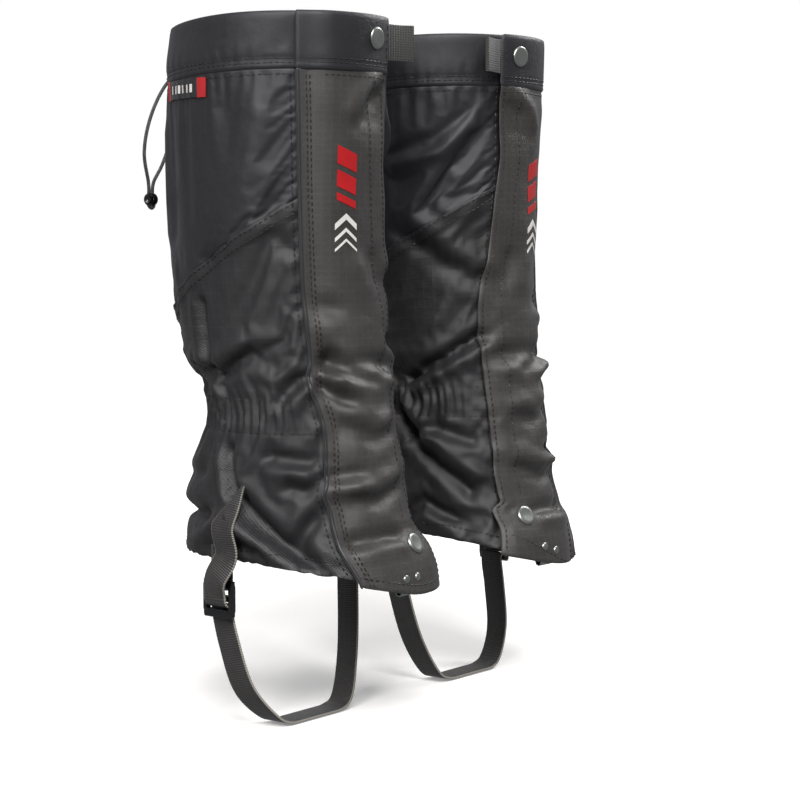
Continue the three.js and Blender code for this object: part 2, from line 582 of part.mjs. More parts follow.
  const lockTop = new THREE.Vector3(46, CALF_FRONT + 1, COLLAR_SEAM - 76);
  const strandWay = new THREE.Vector3(-0.5, -0.86, 0).normalize();
  const strand = (drop, way) => lockTop.clone().addScaledVector(strandWay, way * strandHalf)
    .setZ(lockTop.z - drop);
  const exit = (way, reach) => eyeletFoot.clone().addScaledVector(eyeletAxes.across, way * strandHalf)
    .addScaledVector(eyeletAxes.out, reach);
  const cordPoints = [
    exit(1, 0),
    exit(1, 3),
    new THREE.Vector3(22, CALF_FRONT + 9, COLLAR_SEAM - 1),
    new THREE.Vector3(40, CALF_FRONT + 7, COLLAR_SEAM - 26),
    new THREE.Vector3(50, CALF_FRONT + 3, COLLAR_SEAM - 52),
    strand(-2, -1),
    strand(12, -1),
    strand(16, 0),
    strand(12, 1),
    strand(-2, 1),
    new THREE.Vector3(38, CALF_FRONT - 2, COLLAR_SEAM - 60),
    new THREE.Vector3(20, CALF_FRONT + 5, COLLAR_SEAM - 34),
    new THREE.Vector3(11, CALF_FRONT + 8, COLLAR_SEAM - 5),
    exit(-1, 3),
    exit(-1, 0),
  ];
  const cordPath = new THREE.CatmullRomCurve3(cordPoints, false, 'centripetal');
  const cordCircle = new THREE.EllipseCurve(0, 0, CORD_DIAMETER / 2, CORD_DIAMETER / 2);
  const cordSection = new THREE.Shape(cordCircle.getPoints(8).slice(0, 8));
  const cord = new THREE.ExtrudeGeometry(cordSection, { steps: 40, curveSegments: 1, extrudePath: cordPath });
  add('drawcord', cord, ELASTIC);

  // Cord lock: a ball with a cross hole for both strands and a button in a bore from one side
  const lockRadius = LOCK_DIAMETER / 2;
  const lockCentre = strand(8, 0);
  const buttonWay = new THREE.Vector3(-strandWay.y, strandWay.x, 0);
  const ball = new THREE.SphereGeometry(lockRadius, 16, 8);
  const holeSize = [2 * eyeletHole, CORD_DIAMETER + 1, 2 * LOCK_DIAMETER];
  const cordHole = new THREE.BoxGeometry(...holeSize).rotateZ(Math.atan2(strandWay.y, strandWay.x));
  const boreStart = holeSize[1] / 2 + 0.8;
  const buttonRadius = 2.7;
  const bore = new THREE.CylinderGeometry(buttonRadius + GAP, buttonRadius + GAP, LOCK_DIAMETER, 12);
  bore.rotateZ(Math.PI / 2);
  bore.translate(boreStart + LOCK_DIAMETER / 2, 0, 0);
  bore.rotateZ(Math.atan2(buttonWay.y, buttonWay.x));
  const lockSolid = toManifold(ball).subtract(toManifold(cordHole)).subtract(toManifold(bore));
  add('cord_lock_body', fromManifold(lockSolid), GLOSSY_PLASTIC).position.copy(lockCentre);
  const buttonLength = 3.4;
  const button = turnedGeometry([
    [0, 0], [buttonRadius, 0], [buttonRadius, buttonLength - 0.6],
    [buttonRadius - 0.6, buttonLength], [0, buttonLength],
  ], 12);
  const buttonFoot = lockCentre.clone().addScaledVector(buttonWay, boreStart + BUTTON_TRAVEL + GAP);
  placed(add('cord_lock_button', button, GLOSSY_PLASTIC), buttonFoot, buttonWay);

  return group;
}

const pair = new THREE.Group();
for (const [side, way] of [['left', 1], ['right', -1]]) {
  const leg = gaiter(side);
  leg.position.x = way * (CALF_SIDE + LEG_GAP / 2);
  leg.scale.x = way;
  pair.add(leg);
}

export default pair;
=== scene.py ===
"""A pair of black knee-high hiking gaiters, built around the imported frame.

Soft pieces are worked out in one gaiter's own frame, in millimetres: +X to its outer side, the
toe towards -Y, +Z up. seat() puts them on the left or the right leg, in metres.
"""
import math

import bmesh
import bpy
import numpy as np
from mathutils import Matrix, Vector


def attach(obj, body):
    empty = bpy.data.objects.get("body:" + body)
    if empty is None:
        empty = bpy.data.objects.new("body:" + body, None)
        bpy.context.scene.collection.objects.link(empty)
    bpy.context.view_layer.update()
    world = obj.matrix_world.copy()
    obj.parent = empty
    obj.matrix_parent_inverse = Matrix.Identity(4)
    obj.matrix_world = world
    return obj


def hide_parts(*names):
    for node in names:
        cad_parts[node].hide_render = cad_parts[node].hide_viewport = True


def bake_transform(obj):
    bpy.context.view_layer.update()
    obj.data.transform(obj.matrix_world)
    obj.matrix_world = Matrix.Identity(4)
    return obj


bl_info = {
    "name": "Hiking gaiters",
    "version": (1, 0, 0),
    "blender": (4, 5, 0),
    "location": "View3D > Sidebar > Gaiters",
    "description": "Builds a pair of knee-high hiking gaiters with their hardware and cords",
    "category": "Add Mesh",
}

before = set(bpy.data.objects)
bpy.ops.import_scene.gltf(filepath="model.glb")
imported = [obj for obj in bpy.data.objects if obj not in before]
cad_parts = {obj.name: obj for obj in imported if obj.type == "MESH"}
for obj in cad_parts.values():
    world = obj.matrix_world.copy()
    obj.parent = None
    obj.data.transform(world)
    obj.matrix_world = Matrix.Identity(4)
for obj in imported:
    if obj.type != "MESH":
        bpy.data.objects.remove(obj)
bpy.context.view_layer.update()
ROOT = "gaiters"
SIDES = {"left": 1, "right": -1}
LEG_MIDDLE = 88.0
# Heights of the elastic's channel, the two snaps, the rivets and the cord's eyelet
CHANNEL_LOW, CHANNEL_HIGH = 205, 226
HEM_SNAP_HEIGHT, COLLAR_SNAP_HEIGHT, RIVET_HEIGHT, EYELET_HEIGHT = 125, 467.6, 106, 455

# ---- The sleeve's surface, in millimetres and degrees ----

TOP, COLLAR_SEAM, ANKLE, HEM = 482.0, 446.0, 217.0, 109.0

# Height, half front, half side, forward shift, squareness
SECTIONS = np.array([
    [69, 88, 60, 24, 2.5],
    [109, 88, 60, 22, 2.5],
    [145, 80, 62, 14, 2.2],
    [181, 74, 60, 15, 2.1],
    [217, 66, 56, 19, 2],
    [258.2, 72, 62, 6.33, 2],
    [308.6, 75, 66, 0, 2],
    [446, 78, 72, 0, 2],
    [482, 79, 73, 0, 2],
])


def smooth(x, low, high):
    """0 below low, 1 above high, and an even turn between them."""
    t = np.clip((np.asarray(x, float) - low) / (high - low), 0, 1)
    return t * t * (3 - 2 * t)


def section(z, column):
    heights, values = SECTIONS[:, 0], SECTIONS[:, column]
    slopes = np.zeros(len(heights))
    slopes[1:-1] = (values[2:] - values[:-2]) / (heights[2:] - heights[:-2])
    i = np.clip(np.searchsorted(heights, z) - 1, 0, len(heights) - 2)
    span = heights[i + 1] - heights[i]
    t = np.clip((z - heights[i]) / span, 0, 1)
    level = values[i] + (values[i + 1] - values[i]) * t * t * (3 - 2 * t)
    return level + span * (slopes[i] * t * (1 - t) ** 2 - slopes[i + 1] * t * t * (1 - t))


def face_point(angle, z):
    """The sleeve's face at an angle in degrees from the front, positive to the outer side."""
    angle, z = np.broadcast_arrays(np.radians(angle), np.asarray(z, float))
    square = section(z, 4)
    across = (np.abs(np.sin(angle)) / section(z, 2)) ** square
    along = (np.abs(np.cos(angle)) / section(z, 1)) ** square
    radius = (across + along) ** (-1 / square)
    return np.stack([radius * np.sin(angle), -section(z, 3) - radius * np.cos(angle), z], -1)


def face_out(angle, z):
    around = face_point(np.add(angle, 0.6), z) - face_point(np.subtract(angle, 0.6), z)
    out = np.stack([around[..., 1], -around[..., 0], np.zeros(around.shape[:-1])], -1)
    return out / np.linalg.norm(out, axis=-1, keepdims=True)


def sleeve_point(angle, z, offset):
    return face_point(angle, z) + face_out(angle, z) * np.asarray(offset, float)[..., None]


def face_axes(angle, z):
    """Across, up and out directions on the sleeve for flat hardware."""
    around = face_point(angle + 0.6, z) - face_point(angle - 0.6, z)
    rise = face_point(angle, z + 4) - face_point(angle, z - 4)
    out = np.cross(around, rise)
    out /= np.linalg.norm(out)
    up = np.cross(out, around)
    up /= np.linalg.norm(up)
    return np.cross(up, out), up, out


def arc(length, z, angle=0.0):
    """The degrees that a length takes up round the leg."""
    spot = face_point(angle, z)
    reach = np.hypot(spot[..., 0], spot[..., 1] + section(np.asarray(z, float), 3))
    return np.degrees(length / reach)


def hem_of(side):
    """The hem's height at an angle. It is lowest near the toe, a little to one side of it."""
    toe = {"left": 10.0, "right": -18.0}[side]
    return lambda angle: HEM + 8 - 18.5 * ((1 + np.cos(np.radians(np.subtract(angle, toe)))) / 2) ** 7


def cloth_seam(angle):
    turned = np.abs((np.asarray(angle, float) + 180) % 360 - 180)
    return 360 - 95 * np.clip((turned - 36) / 144, -0.3, 1)


def collar_top(angle):
    """The collar's edge dips a little towards the rear, where the drawcord pulls it."""
    return TOP - 5.5 * ((1 - np.cos(np.radians(angle))) / 2) ** 1.5


def collar_seam_at(angle):
    """The collar's seam dips towards the rear with its edge."""
    return COLLAR_SEAM - 6.5 * ((1 - np.cos(np.radians(angle))) / 2) ** 1.5


def hem_share(z):
    return np.clip((ANKLE - z) / (ANKLE - HEM), 0, 1)


def calf_share(z):
    return np.clip((z - ANKLE) / (COLLAR_SEAM - ANKLE), 0, 1)


def flap_seam(z):
    """The sewn edge of the flap. It is pulled towards the outer side where the ankle is drawn in."""
    z = np.asarray(z, float)
    pull = np.where(z > 240, np.exp(-((z - 240) / 10) ** 2), np.exp(-((z - 240) / 24) ** 2))
    kink = arc(3, z) * np.exp(-((z - 164) / 7) ** 2) - arc(8, z) * smooth(-z, -130, -97)
    return 31 + 5 * calf_share(z) - 6 * hem_share(z) + arc(5.5, z) * pull + kink


def flap_edge(z):
    """The free edge of the flap, with the wider tab that holds the lower snap."""
    z = np.asarray(z, float)
    plain = -16 - 15 * smooth(1 - calf_share(z), 0.2, 1) + 9 * hem_share(z)
    wave = 1.6 * np.sin(z / 17.0) * np.sin(z / 41.0 + 1) * smooth(z, 150, 180) * smooth(-z, -430, -380)
    return plain - arc(8, z) * smooth(-z, -141, -135) - arc(5, z) * smooth(-z, -126, -100) + arc(wave,
        z)


def underlap_edge(z):
    z = np.asarray(z, float)
    return -16 - 15 * smooth(1 - calf_share(z), 0.2, 1) + 9 * hem_share(z) + arc(4, z)


# ---- Folds worn into the cloth ----

# Points as (angle, height), width, depth, ridge height, and the side of the line with the ridge
FOLDS = [
    ([(101, 300), (103, 262), (105, 226)], 3.2, 5.0, 1.4, 1),
    ([(34, 246), (43, 240), (58, 226)], 3.5, 4.5, 1.8, -1),
    ([(84, 164), (66, 146), (50, 128), (27, 106)], 7.0, 7.0, 4.5, 1),
    ([(33, 153), (48, 130)], 4.0, 4.0, 1.5, 1),
    ([(68, 191), (33, 186)], 5.5, 4.5, 3.2, 1),
    ([(54, 171), (34, 167)], 5.5, 4.0, 1.5, -1),
    ([(100, 198), (93, 178), (84, 162)], 3.5, 5.5, 2.5, 1),
    ([(112, 149), (145, 147), (182, 150)], 6.0, 5.0, 2.0, 1),
    ([(118, 176), (150, 172), (178, 178)], 5.0, 3.0, 0.5, 1),
    ([(90, 336), (92, 310)], 10.0, 4.0, 1.2, 1),
    ([(75, 436), (82, 332)], 12.0, 1.8, 1.4, -1),
    ([(126, 420), (124, 330)], 9.0, 1.5, 2.2, 1),
    ([(62, 262), (96, 244), (120, 246)], 6.0, 3.0, 2.0, 1),
    ([(140, 262), (150, 236)], 4.5, 3.5, 2.0, 1),
    ([(168, 280), (160, 232)], 5.0, 3.0, 1.8, -1),
    ([(72, 124), (96, 138), (120, 120)], 6.0, 3.0, 2.0, 1),
    ([(-22, 266), (-50, 250), (-90, 229)], 5.0, 5.5, 3.0, 1),
    ([(-103, 211), (-70, 178), (-33, 148)], 6.0, 6.5, 4.0, 1),
    ([(-20, 300), (-48, 318), (-80, 350)], 8.0, 2.5, 2.0, -1),
    ([(-96, 292), (-104, 250), (-110, 228)], 4.0, 4.5, 2.5, 1),
    ([(-118, 262), (-128, 238)], 4.0, 3.0, 2.0, -1),
    ([(-112, 150), (-145, 147), (-178, 150)], 6.0, 5.0, 3.5, -1),
    ([(-34, 186), (-62, 196), (-92, 190)], 5.0, 3.5, 2.0, 1),
    ([(-44, 128), (-70, 142), (-96, 126)], 6.0, 4.0, 2.5, 1),
    ([(-30, 430), (-52, 408), (-86, 396)], 5.0, 3.0, 2.2, 1),
    ([(-26, 414), (-44, 388), (-58, 352)], 7.0, 2.6, 1.8, -1),
    ([(-150, 300), (-156, 240)], 5.0, 3.0, 1.8, 1),
]
# The flap's own dents, in the same form
FLAP_FOLDS = [
    ([(33, 176), (8, 178)], 5.0, 3.0, 2.0, 1),
    ([(24, 132), (0, 134), (-24, 130)], 4.0, 3.5, 1.8, 1),
    ([(32, 252), (8, 250), (-24, 248)], 6.5, 3.6, 2.6, 1),
    ([(34, 240), (12, 222)], 4.5, 3.2, 1.6, -1),
    ([(32, 232), (18, 262)], 4.0, 2.4, 1.4, 1),
    ([(-10, 430), (-6, 406)], 7.0, 1.6, 1.0, 1),
    ([(-4, 330), (-14, 296)], 8.0, 2.4, 1.6, 1),
    ([(26, 212), (2, 200), (-20, 204)], 6.0, 2.2, 1.8, -1),
    ([(-14, 436), (-2, 424), (4, 408)], 5.5, 2.6, 1.6, 1),
    ([(26, 262), (14, 242), (-8, 236)], 5.0, 3.0, 1.8, -1),
    ([(28, 292), (10, 284)], 7.0, 2.4, 1.6, 1),
    ([(-20, 168), (4, 158), (22, 160)], 6.0, 2.6, 2.0, 1),
]
LEG_RADIUS = 66.0
# Folds narrower than this, in mm, would show the grid's steps
NARROWEST_FOLD = 4.8


def fold_relief(angle, z, folds):
    """How far the folds move the cloth out, in mm, at angles and heights."""
    x = np.radians((np.asarray(angle, float) + 180) % 360 - 180) * LEG_RADIUS
    relief = np.zeros(np.broadcast(x, z).shape)
    for points, width, depth, ridge, way in folds:
        width = max(width, NARROWEST_FOLD)
        line = np.array([(math.radians(a) * LEG_RADIUS, h) for a, h in points])
        whole = np.linalg.norm(np.diff(line, axis=0), axis=1).sum()
        nearest = np.full(relief.shape, 1e9)
        signed = np.zeros(relief.shape)
        share = np.zeros(relief.shape)
        before = 0.0
        for start, end in zip(line[:-1], line[1:]):
            step = end - start
            length = np.linalg.norm(step)
            run = ((x - start[0]) * step[0] + (z - start[1]) * step[1]) / length
            held = np.clip(run, 0, length)
            gap = np.hypot(x - start[0] - step[0] * held / length,
                z - start[1] - step[1] * held / length)
            side = np.sign(step[0] * (z - start[1]) - step[1] * (x - start[0]))
            closer = gap < nearest
            nearest = np.where(closer, gap, nearest)
            signed = np.where(closer, gap * side, signed)
            share = np.where(closer, (before + held) / whole, share)
            before += length
        ends = np.clip(np.minimum(share, 1 - share) * whole / (1.6 * width) + 0.25, 0, 1)
        valley = np.exp(-(signed / width) ** 2)
        hump = np.exp(-((signed * way - 1.75 * width) / (1.1 * width)) ** 2)
        relief += ends * (ridge * hump - depth * valley)
    return relief


def unevenness(x, z, seed, size):
    total = 0.0
    for k in range(5):
        turn = seed * 1.7 + k * 2.399
        wave = (x * math.cos(turn) + z * math.sin(turn)) * 2 * math.pi / (size * (1 + 0.31 * k))
        total = total + np.sin(wave + seed * 3.1 + 1.3 * k)
    return total / 5


def ridged(x, z, seed, size):
    """Sharp crests with broad hollows between them, as in crumpled cloth."""
    return 1.2 - 2.6 * np.abs(unevenness(x + 0.35 * z, z - 0.2 * x, seed, size))


def cloth_relief(angle, z, seed, slack):
    """Folds, the ankle's gathers and a general unevenness. slack scales the folds."""
    angle = np.asarray(angle, float)
    z = np.asarray(z, float)
    turned = (angle + 180) % 360 - 180
    x = np.radians(turned) * LEG_RADIUS
    relief = slack * fold_relief(angle, z, FOLDS)
    drawn = smooth(np.abs(turned), 34, 70) * np.exp(-((z - 215) / 26) ** 2)
    pleat = np.sin(2 * np.pi * x / 7.4 + 0.9 * np.sin(x / 9.0 + seed) + 0.4 * np.sin(z / 9.0))
    wide = np.sin(2 * np.pi * x / 17 + seed + 0.05 * (z - 215))
    near = np.exp(-((z - 215) / 13) ** 2)
    relief += drawn * (1.15 * near * pleat + 1.3 * (1 - 0.5 * near) * wide)
    billow = smooth(-z, -206, -176) * smooth(z, 112, 140) * smooth(np.abs(turned), 40, 70)
    relief += billow * (0.6 + 2.2 * unevenness(x, z, seed + 2, 46))
    relief += 1.1 * unevenness(x, z, seed, 58) + 0.45 * unevenness(x, z, seed + 5, 21)
    rumpled = np.exp(-((z - 205) / 60) ** 2)
    relief += rumpled * (0.8 * ridged(x, z, seed, 34) + 0.45 * ridged(x, z, seed + 3, 19))
    calm = smooth(-z, -COLLAR_SEAM, -COLLAR_SEAM + 16) * smooth(z, 102, 130)
    return relief * np.maximum(calm, 0.12)

# ---- Cloth ----

class Cloth:
    """A run of cloth on the leg, as a grid of points. across lists (angle at a height, column)
    and upward lists (height at an angle, row), each in rising order of column or row."""

    def __init__(self, across, upward, offset=0.0):
        self.across, self.upward = across, upward
        columns, rows = across[-1][1], upward[-1][1]
        i, j = np.meshgrid(np.arange(columns + 1.0), np.arange(rows + 1.0))
        z = np.full(i.shape, ANKLE)
        for _ in range(5):
            angle = self._between(across, i, z)
            z = self._between(upward, j, angle)
        self.angle, self.z = angle, z
        self.cut = sleeve_point(angle, z, np.zeros(angle.shape))
        self.points = sleeve_point(angle, z, np.broadcast_to(offset, angle.shape))

    @staticmethod
    def _between(stops, index, other):
        value = np.zeros(index.shape)
        for (low, start), (high, end) in zip(stops[:-1], stops[1:]):
            share = (index - start) / (end - start)
            here = (index >= start) if start == stops[0][1] else (index > start)
            part = low(other) * (1 - share) + high(other) * share
            value = np.where(here & (index <= end), part, value)
        return value

    @staticmethod
    def _index(stops, value, other):
        index = np.zeros(np.shape(value))
        for n, ((low, start), (high, end)) in enumerate(zip(stops[:-1], stops[1:])):
            share = (value - low(other)) / (high(other) - low(other))
            inside = (share >= 0) | (n == 0)
            index = np.where(inside, start + (end - start) * np.clip(share, 0, 1), index)
        return index

    def out(self):
        du = np.gradient(self.points, axis=1)
        dv = np.gradient(self.points, axis=0)
        out = np.cross(du, dv)
        return out / np.maximum(np.linalg.norm(out, axis=-1, keepdims=True), 1e-9)

    def lift(self, height):
        self.points = self.points + self.out() * np.asarray(height, float)[..., None]

    def at(self, angle, z, lift=0.0):
        """Points and outward directions on the cloth as it lies, at angles and heights."""
        angle, z = np.broadcast_arrays(np.asarray(angle, float), np.asarray(z, float))
        i = self._index(self.across, angle, z)
        j = self._index(self.upward, z, angle)
        rows, columns = self.z.shape
        a = np.clip(np.floor(i).astype(int), 0, columns - 2)
        b = np.clip(np.floor(j).astype(int), 0, rows - 2)
        s, t = (i - a)[..., None], (j - b)[..., None]

        def mixed(grid):
            low = grid[b, a] * (1 - s) + grid[b, a + 1] * s
            high = grid[b + 1, a] * (1 - s) + grid[b + 1, a + 1] * s
            return low * (1 - t) + high * t

        out = mixed(self.out())
        out /= np.linalg.norm(out, axis=-1, keepdims=True)
        return mixed(self.points) + out * lift, out

    def part(self, rows, columns):
        """A cut-out of the grid, as a Cloth that shares its shape."""
        piece = object.__new__(Cloth)
        for name in ("angle", "z", "cut", "points"):
            setattr(piece, name, getattr(self, name)[rows, columns].copy())
        return piece

    def flat_size(self):
        """Width, length and area of the cut cloth, in metres, before it is gathered or worn."""
        wide = np.linalg.norm(np.diff(self.cut, axis=1), axis=-1).sum(1).max()
        long = np.linalg.norm(np.diff(self.cut, axis=0), axis=-1).sum(0).max()
        du = np.diff(self.cut, axis=1)[:-1]
        dv = np.diff(self.cut, axis=0)[:, :-1]
        area = np.linalg.norm(np.cross(du, dv), axis=-1).sum()
        return wide / 1000, long / 1000, min(area, wide * long) / 1e6


def double(grid, axis):
    """Adds a point between each two along an axis, on a cubic through four neighbours."""
    grid = np.moveaxis(grid, axis, 0)
    padded = np.concatenate([2 * grid[:1] - grid[1:2], grid, 2 * grid[-1:] - grid[-2:-1]])
    middle = (9 * (padded[1:-2] + padded[2:-1]) - padded[:-3] - padded[3:]) / 16
    result = np.empty((2 * len(grid) - 1,) + grid.shape[1:])
    result[::2], result[1::2] = grid, middle
    return np.moveaxis(result, 0, axis)


SETTLE_FRAMES = 22


def settle(cloth, held, slack, cap):
    """Lets the cloth buckle and settle where it isn't held. slack is its spare length as a share,
    held is 1 where it is sewn down, and cap is the furthest that a point may move, in mm."""
    rows, columns = cloth.z.shape
    mesh = bpy.data.meshes.new("settling")
    index = np.arange(rows * columns).reshape(rows, columns)
    corners = [index[:-1, :-1], index[:-1, 1:], index[1:, 1:], index[1:, :-1]]
    quads = np.stack(corners, -1).reshape(-1, 4)
    start = cloth.points.reshape(-1, 3) / 1000
    mesh.from_pydata(start.tolist(), [], quads.tolist())
    obj = bpy.data.objects.new("settling", mesh)
    bpy.context.scene.collection.objects.link(obj)
    group = obj.vertex_groups.new(name="sewn")
    for vertex, weight in enumerate(np.asarray(held).ravel()):
        if weight > 0:
            group.add([vertex], float(weight), "REPLACE")
    modifier = obj.modifiers.new("Cloth", "CLOTH")
    setting = modifier.settings
    setting.quality = 6
    setting.mass = 0.2
    setting.tension_stiffness = 14
    setting.compression_stiffness = 8
    setting.shear_stiffness = 5
    setting.bending_stiffness = 0.35
    setting.air_damping = 4
    setting.shrink_min = -slack
    setting.vertex_group_mass = "sewn"
    setting.pin_stiffness = 0.6
    setting.effector_weights.gravity = 0.2
    modifier.collision_settings.use_collision = False
    modifier.collision_settings.use_self_collision = False
    modifier.point_cache.frame_start = 1
    modifier.point_cache.frame_end = SETTLE_FRAMES
    scene = bpy.context.scene
    for now in range(1, SETTLE_FRAMES + 1):
        scene.frame_set(now)
    shown = obj.evaluated_get(bpy.context.evaluated_depsgraph_get())
    settled = np.empty(len(start) * 3)
    shown.data.vertices.foreach_get("co", settled)
    moved = (settled.reshape(start.shape) - start).reshape(rows, columns, 3) * 1000
    scene.frame_set(1)
    bpy.data.objects.remove(obj)
    bpy.data.meshes.remove(mesh)
    length = np.linalg.norm(moved, axis=-1, keepdims=True)
    moved *= np.minimum(1, cap * np.tanh(length / cap) / np.maximum(length, 1e-9))
    free = 1 - np.asarray(held)[..., None]
    cloth.points = cloth.points + moved * np.minimum(1, 2 * free)


# ---- Meshes ----

def seat(side):
    """The matrix from one gaiter's own millimetres to metres on its leg."""
    way = SIDES[side]
    return Matrix.Translation((way * LEG_MIDDLE / 1000, 0, 0)) @ Matrix.Diagonal((way / 1000, 0.001,
        0.001, 1))


def build(name, side, points, faces, material, uv=None, backing=None, smooth_angle=40):
    """A mesh object on one leg. uv gives one (u, v) in metres per point, and backing is the
    material and the set of faces that take it."""
    mesh = bpy.data.meshes.new(name)
    mesh.from_pydata(np.asarray(points, float).reshape(-1, 3).tolist(), [],
        [list(map(int, f)) for f in faces])
    if uv is not None:
        layer = mesh.uv_layers.new(name="UVMap")
        corner = np.empty(len(mesh.loops), int)
        mesh.loops.foreach_get("vertex_index", corner)
        layer.data.foreach_set("uv", np.asarray(uv, float).reshape(-1,
            2)[corner].astype(np.float32).ravel())
    mesh.materials.append(material)
    if backing:
        mesh.materials.append(backing[0])
        for face in backing[1]:
            mesh.polygons[face].material_index = 1
    mesh.transform(seat(side))
    if SIDES[side] < 0:
        mesh.flip_normals()
    mesh.validate()
    obj = bpy.data.objects.new(name, mesh)
    bpy.context.scene.collection.objects.link(obj)
    mesh.shade_smooth()
    if smooth_angle:
        mesh.set_sharp_from_angle(angle=math.radians(smooth_angle))
    return obj


def slab_mesh(outer, thickness, out=None, rim=0.35):
    """Points and faces of a sheet with rounded edges, from a grid of its outer face.
    The faces come in order: outer, inner, then the edges."""
    rows, columns = outer.shape[:2]
    if out is None:
        du, dv = np.gradient(outer, axis=1), np.gradient(outer, axis=0)
        out = np.cross(du, dv)
        out /= np.maximum(np.linalg.norm(out, axis=-1, keepdims=True), 1e-9)
    inner = outer - out * np.asarray(thickness, float).reshape(np.shape(thickness) + (1,
        ) * (3 - np.ndim(thickness)))
    count = rows * columns
    index = np.arange(count).reshape(rows, columns)
    corners = [index[:-1, :-1], index[:-1, 1:], index[1:, 1:], index[1:, :-1]]
    quads = np.stack(corners, -1).reshape(-1, 4)
    border = np.concatenate([index[0, :-1], index[:-1, -1], index[-1, :0:-1], index[:0:-1, 0]])
    flat_outer, flat_inner = outer.reshape(-1, 3), inner.reshape(-1, 3)
    middle = (flat_outer[border] + flat_inner[border]) / 2
    centre_in = np.concatenate([index[1, :-1], index[:-1, -2], index[-2, :0:-1], index[:0:-1, 1]])
    away = flat_outer[border] - flat_outer[centre_in]
    away /= np.maximum(np.linalg.norm(away, axis=-1, keepdims=True), 1e-9)
    deep = np.linalg.norm(flat_outer[border] - flat_inner[border], axis=-1, keepdims=True)
    middle = middle + away * deep * rim
    ring = 2 * count + np.arange(len(border))
    after = np.roll(np.arange(len(border)), -1)
    upper = np.stack([border[after], border, ring, ring[after]], -1)
    lower = np.stack([ring[after], ring, border + count, border[after] + count], -1)
    points = np.concatenate([flat_outer, flat_inner, middle])
    faces = np.concatenate([quads, quads[:, ::-1] + count, upper, lower])
    return points, faces, border, len(quads)


def sheet_piece(name, side, cloth, thickness, material, backing, node=None, rim=0.35):
    """A finished sheet of cloth, with its pattern laid along the width and the height."""
    points, faces, border, quads = slab_mesh(cloth.points, thickness, rim=rim)
    u = np.radians(cloth.angle) * LEG_RADIUS / 1000
    v = cloth.z / 1000
    flat = np.stack([u, v], -1).reshape(-1, 2)
    uv = np.concatenate([flat, flat, flat[border]])
    inside = list(range(quads, 2 * quads))
    obj = build(name, side, points, faces, material, uv, (backing, inside), 60)
    if node:
        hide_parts(node)
    return obj


def declare_sheet(cloth):
    wide, long, area = cloth.flat_size()
    area = min(max(area, 0.31 * wide * long), wide * long)


def strip_mesh(centre, across, out, left, right, thickness):
    """A flat band with rounded edges along a line. left and right are where its edges lie,
    across the line, at every point of it."""
    n = len(centre)
    shape = [(-1, 0.5), (-0.975, 0.88), (-0.92, 1), (-0.3, 1.04), (0.3, 1.04), (0.92, 1), (0.975, 0.88),
        (1, 0.5),
             (0.975, 0.12), (0.92, 0), (0, 0), (-0.92, 0), (-0.975, 0.12)]
    widest = max(right - left) / 2
    points, uv = [], []
    run = np.concatenate([[0], np.cumsum(np.linalg.norm(np.diff(centre, axis=0), axis=1))])
    for k in range(n):
        middle, half = (left[k] + right[k]) / 2, (right[k] - left[k]) / 2
        for reach, rise in shape:
            points.append(centre[k] + across[k] * (middle + reach * half) + out[k] * rise * thickness)
            uv.append((reach * widest / 1000, run[k] / 1000))
    m = len(shape)
    faces = []
    for k in range(n - 1):
        for q in range(m):
            a, b = k * m + q, k * m + (q + 1) % m
            faces.append((a, b, b + m, a + m))
    faces.append(tuple(range(m - 1, -1, -1)))
    faces.append(tuple((n - 1) * m + q for q in range(m)))
    return np.array(points), faces, np.array(uv)


def curve_through(stops, count):
    """Even points on a centripetal curve through the stops."""
    stops = np.asarray(stops, float)
    ends = np.concatenate([2 * stops[:1] - stops[1:2], stops, 2 * stops[-1:] - stops[-2:-1]])
    fine = []
    for p0, p1, p2, p3 in zip(ends[:-3], ends[1:-2], ends[2:-1], ends[3:]):
        knots = [0.0]
        for a, b in ((p0, p1), (p1, p2), (p2, p3)):
            knots.append(knots[-1] + max(np.linalg.norm((b - a)[:3]) ** 0.5, 1e-6))
        t0, t1, t2, t3 = knots
        t = np.linspace(t1, t2, 24, endpoint=False)[:, None]
        a1 = (t1 - t) / (t1 - t0) * p0 + (t - t0) / (t1 - t0) * p1
        a2 = (t2 - t) / (t2 - t1) * p1 + (t - t1) / (t2 - t1) * p2
        a3 = (t3 - t) / (t3 - t2) * p2 + (t - t2) / (t3 - t2) * p3
        b1 = (t2 - t) / (t2 - t0) * a1 + (t - t0) / (t2 - t0) * a2
        b2 = (t3 - t) / (t3 - t1) * a2 + (t - t1) / (t3 - t1) * a3
        fine.append((t2 - t) / (t2 - t1) * b1 + (t - t1) / (t2 - t1) * b2)
    fine = np.concatenate(fine + [stops[-1:]])
    run = np.concatenate([[0], np.cumsum(np.linalg.norm(np.diff(fine[:, :3], axis=0), axis=1))])
    even = np.linspace(0, run[-1], count)
    return np.stack([np.interp(even, run, fine[:, k]) for k in range(fine.shape[1])], -1)


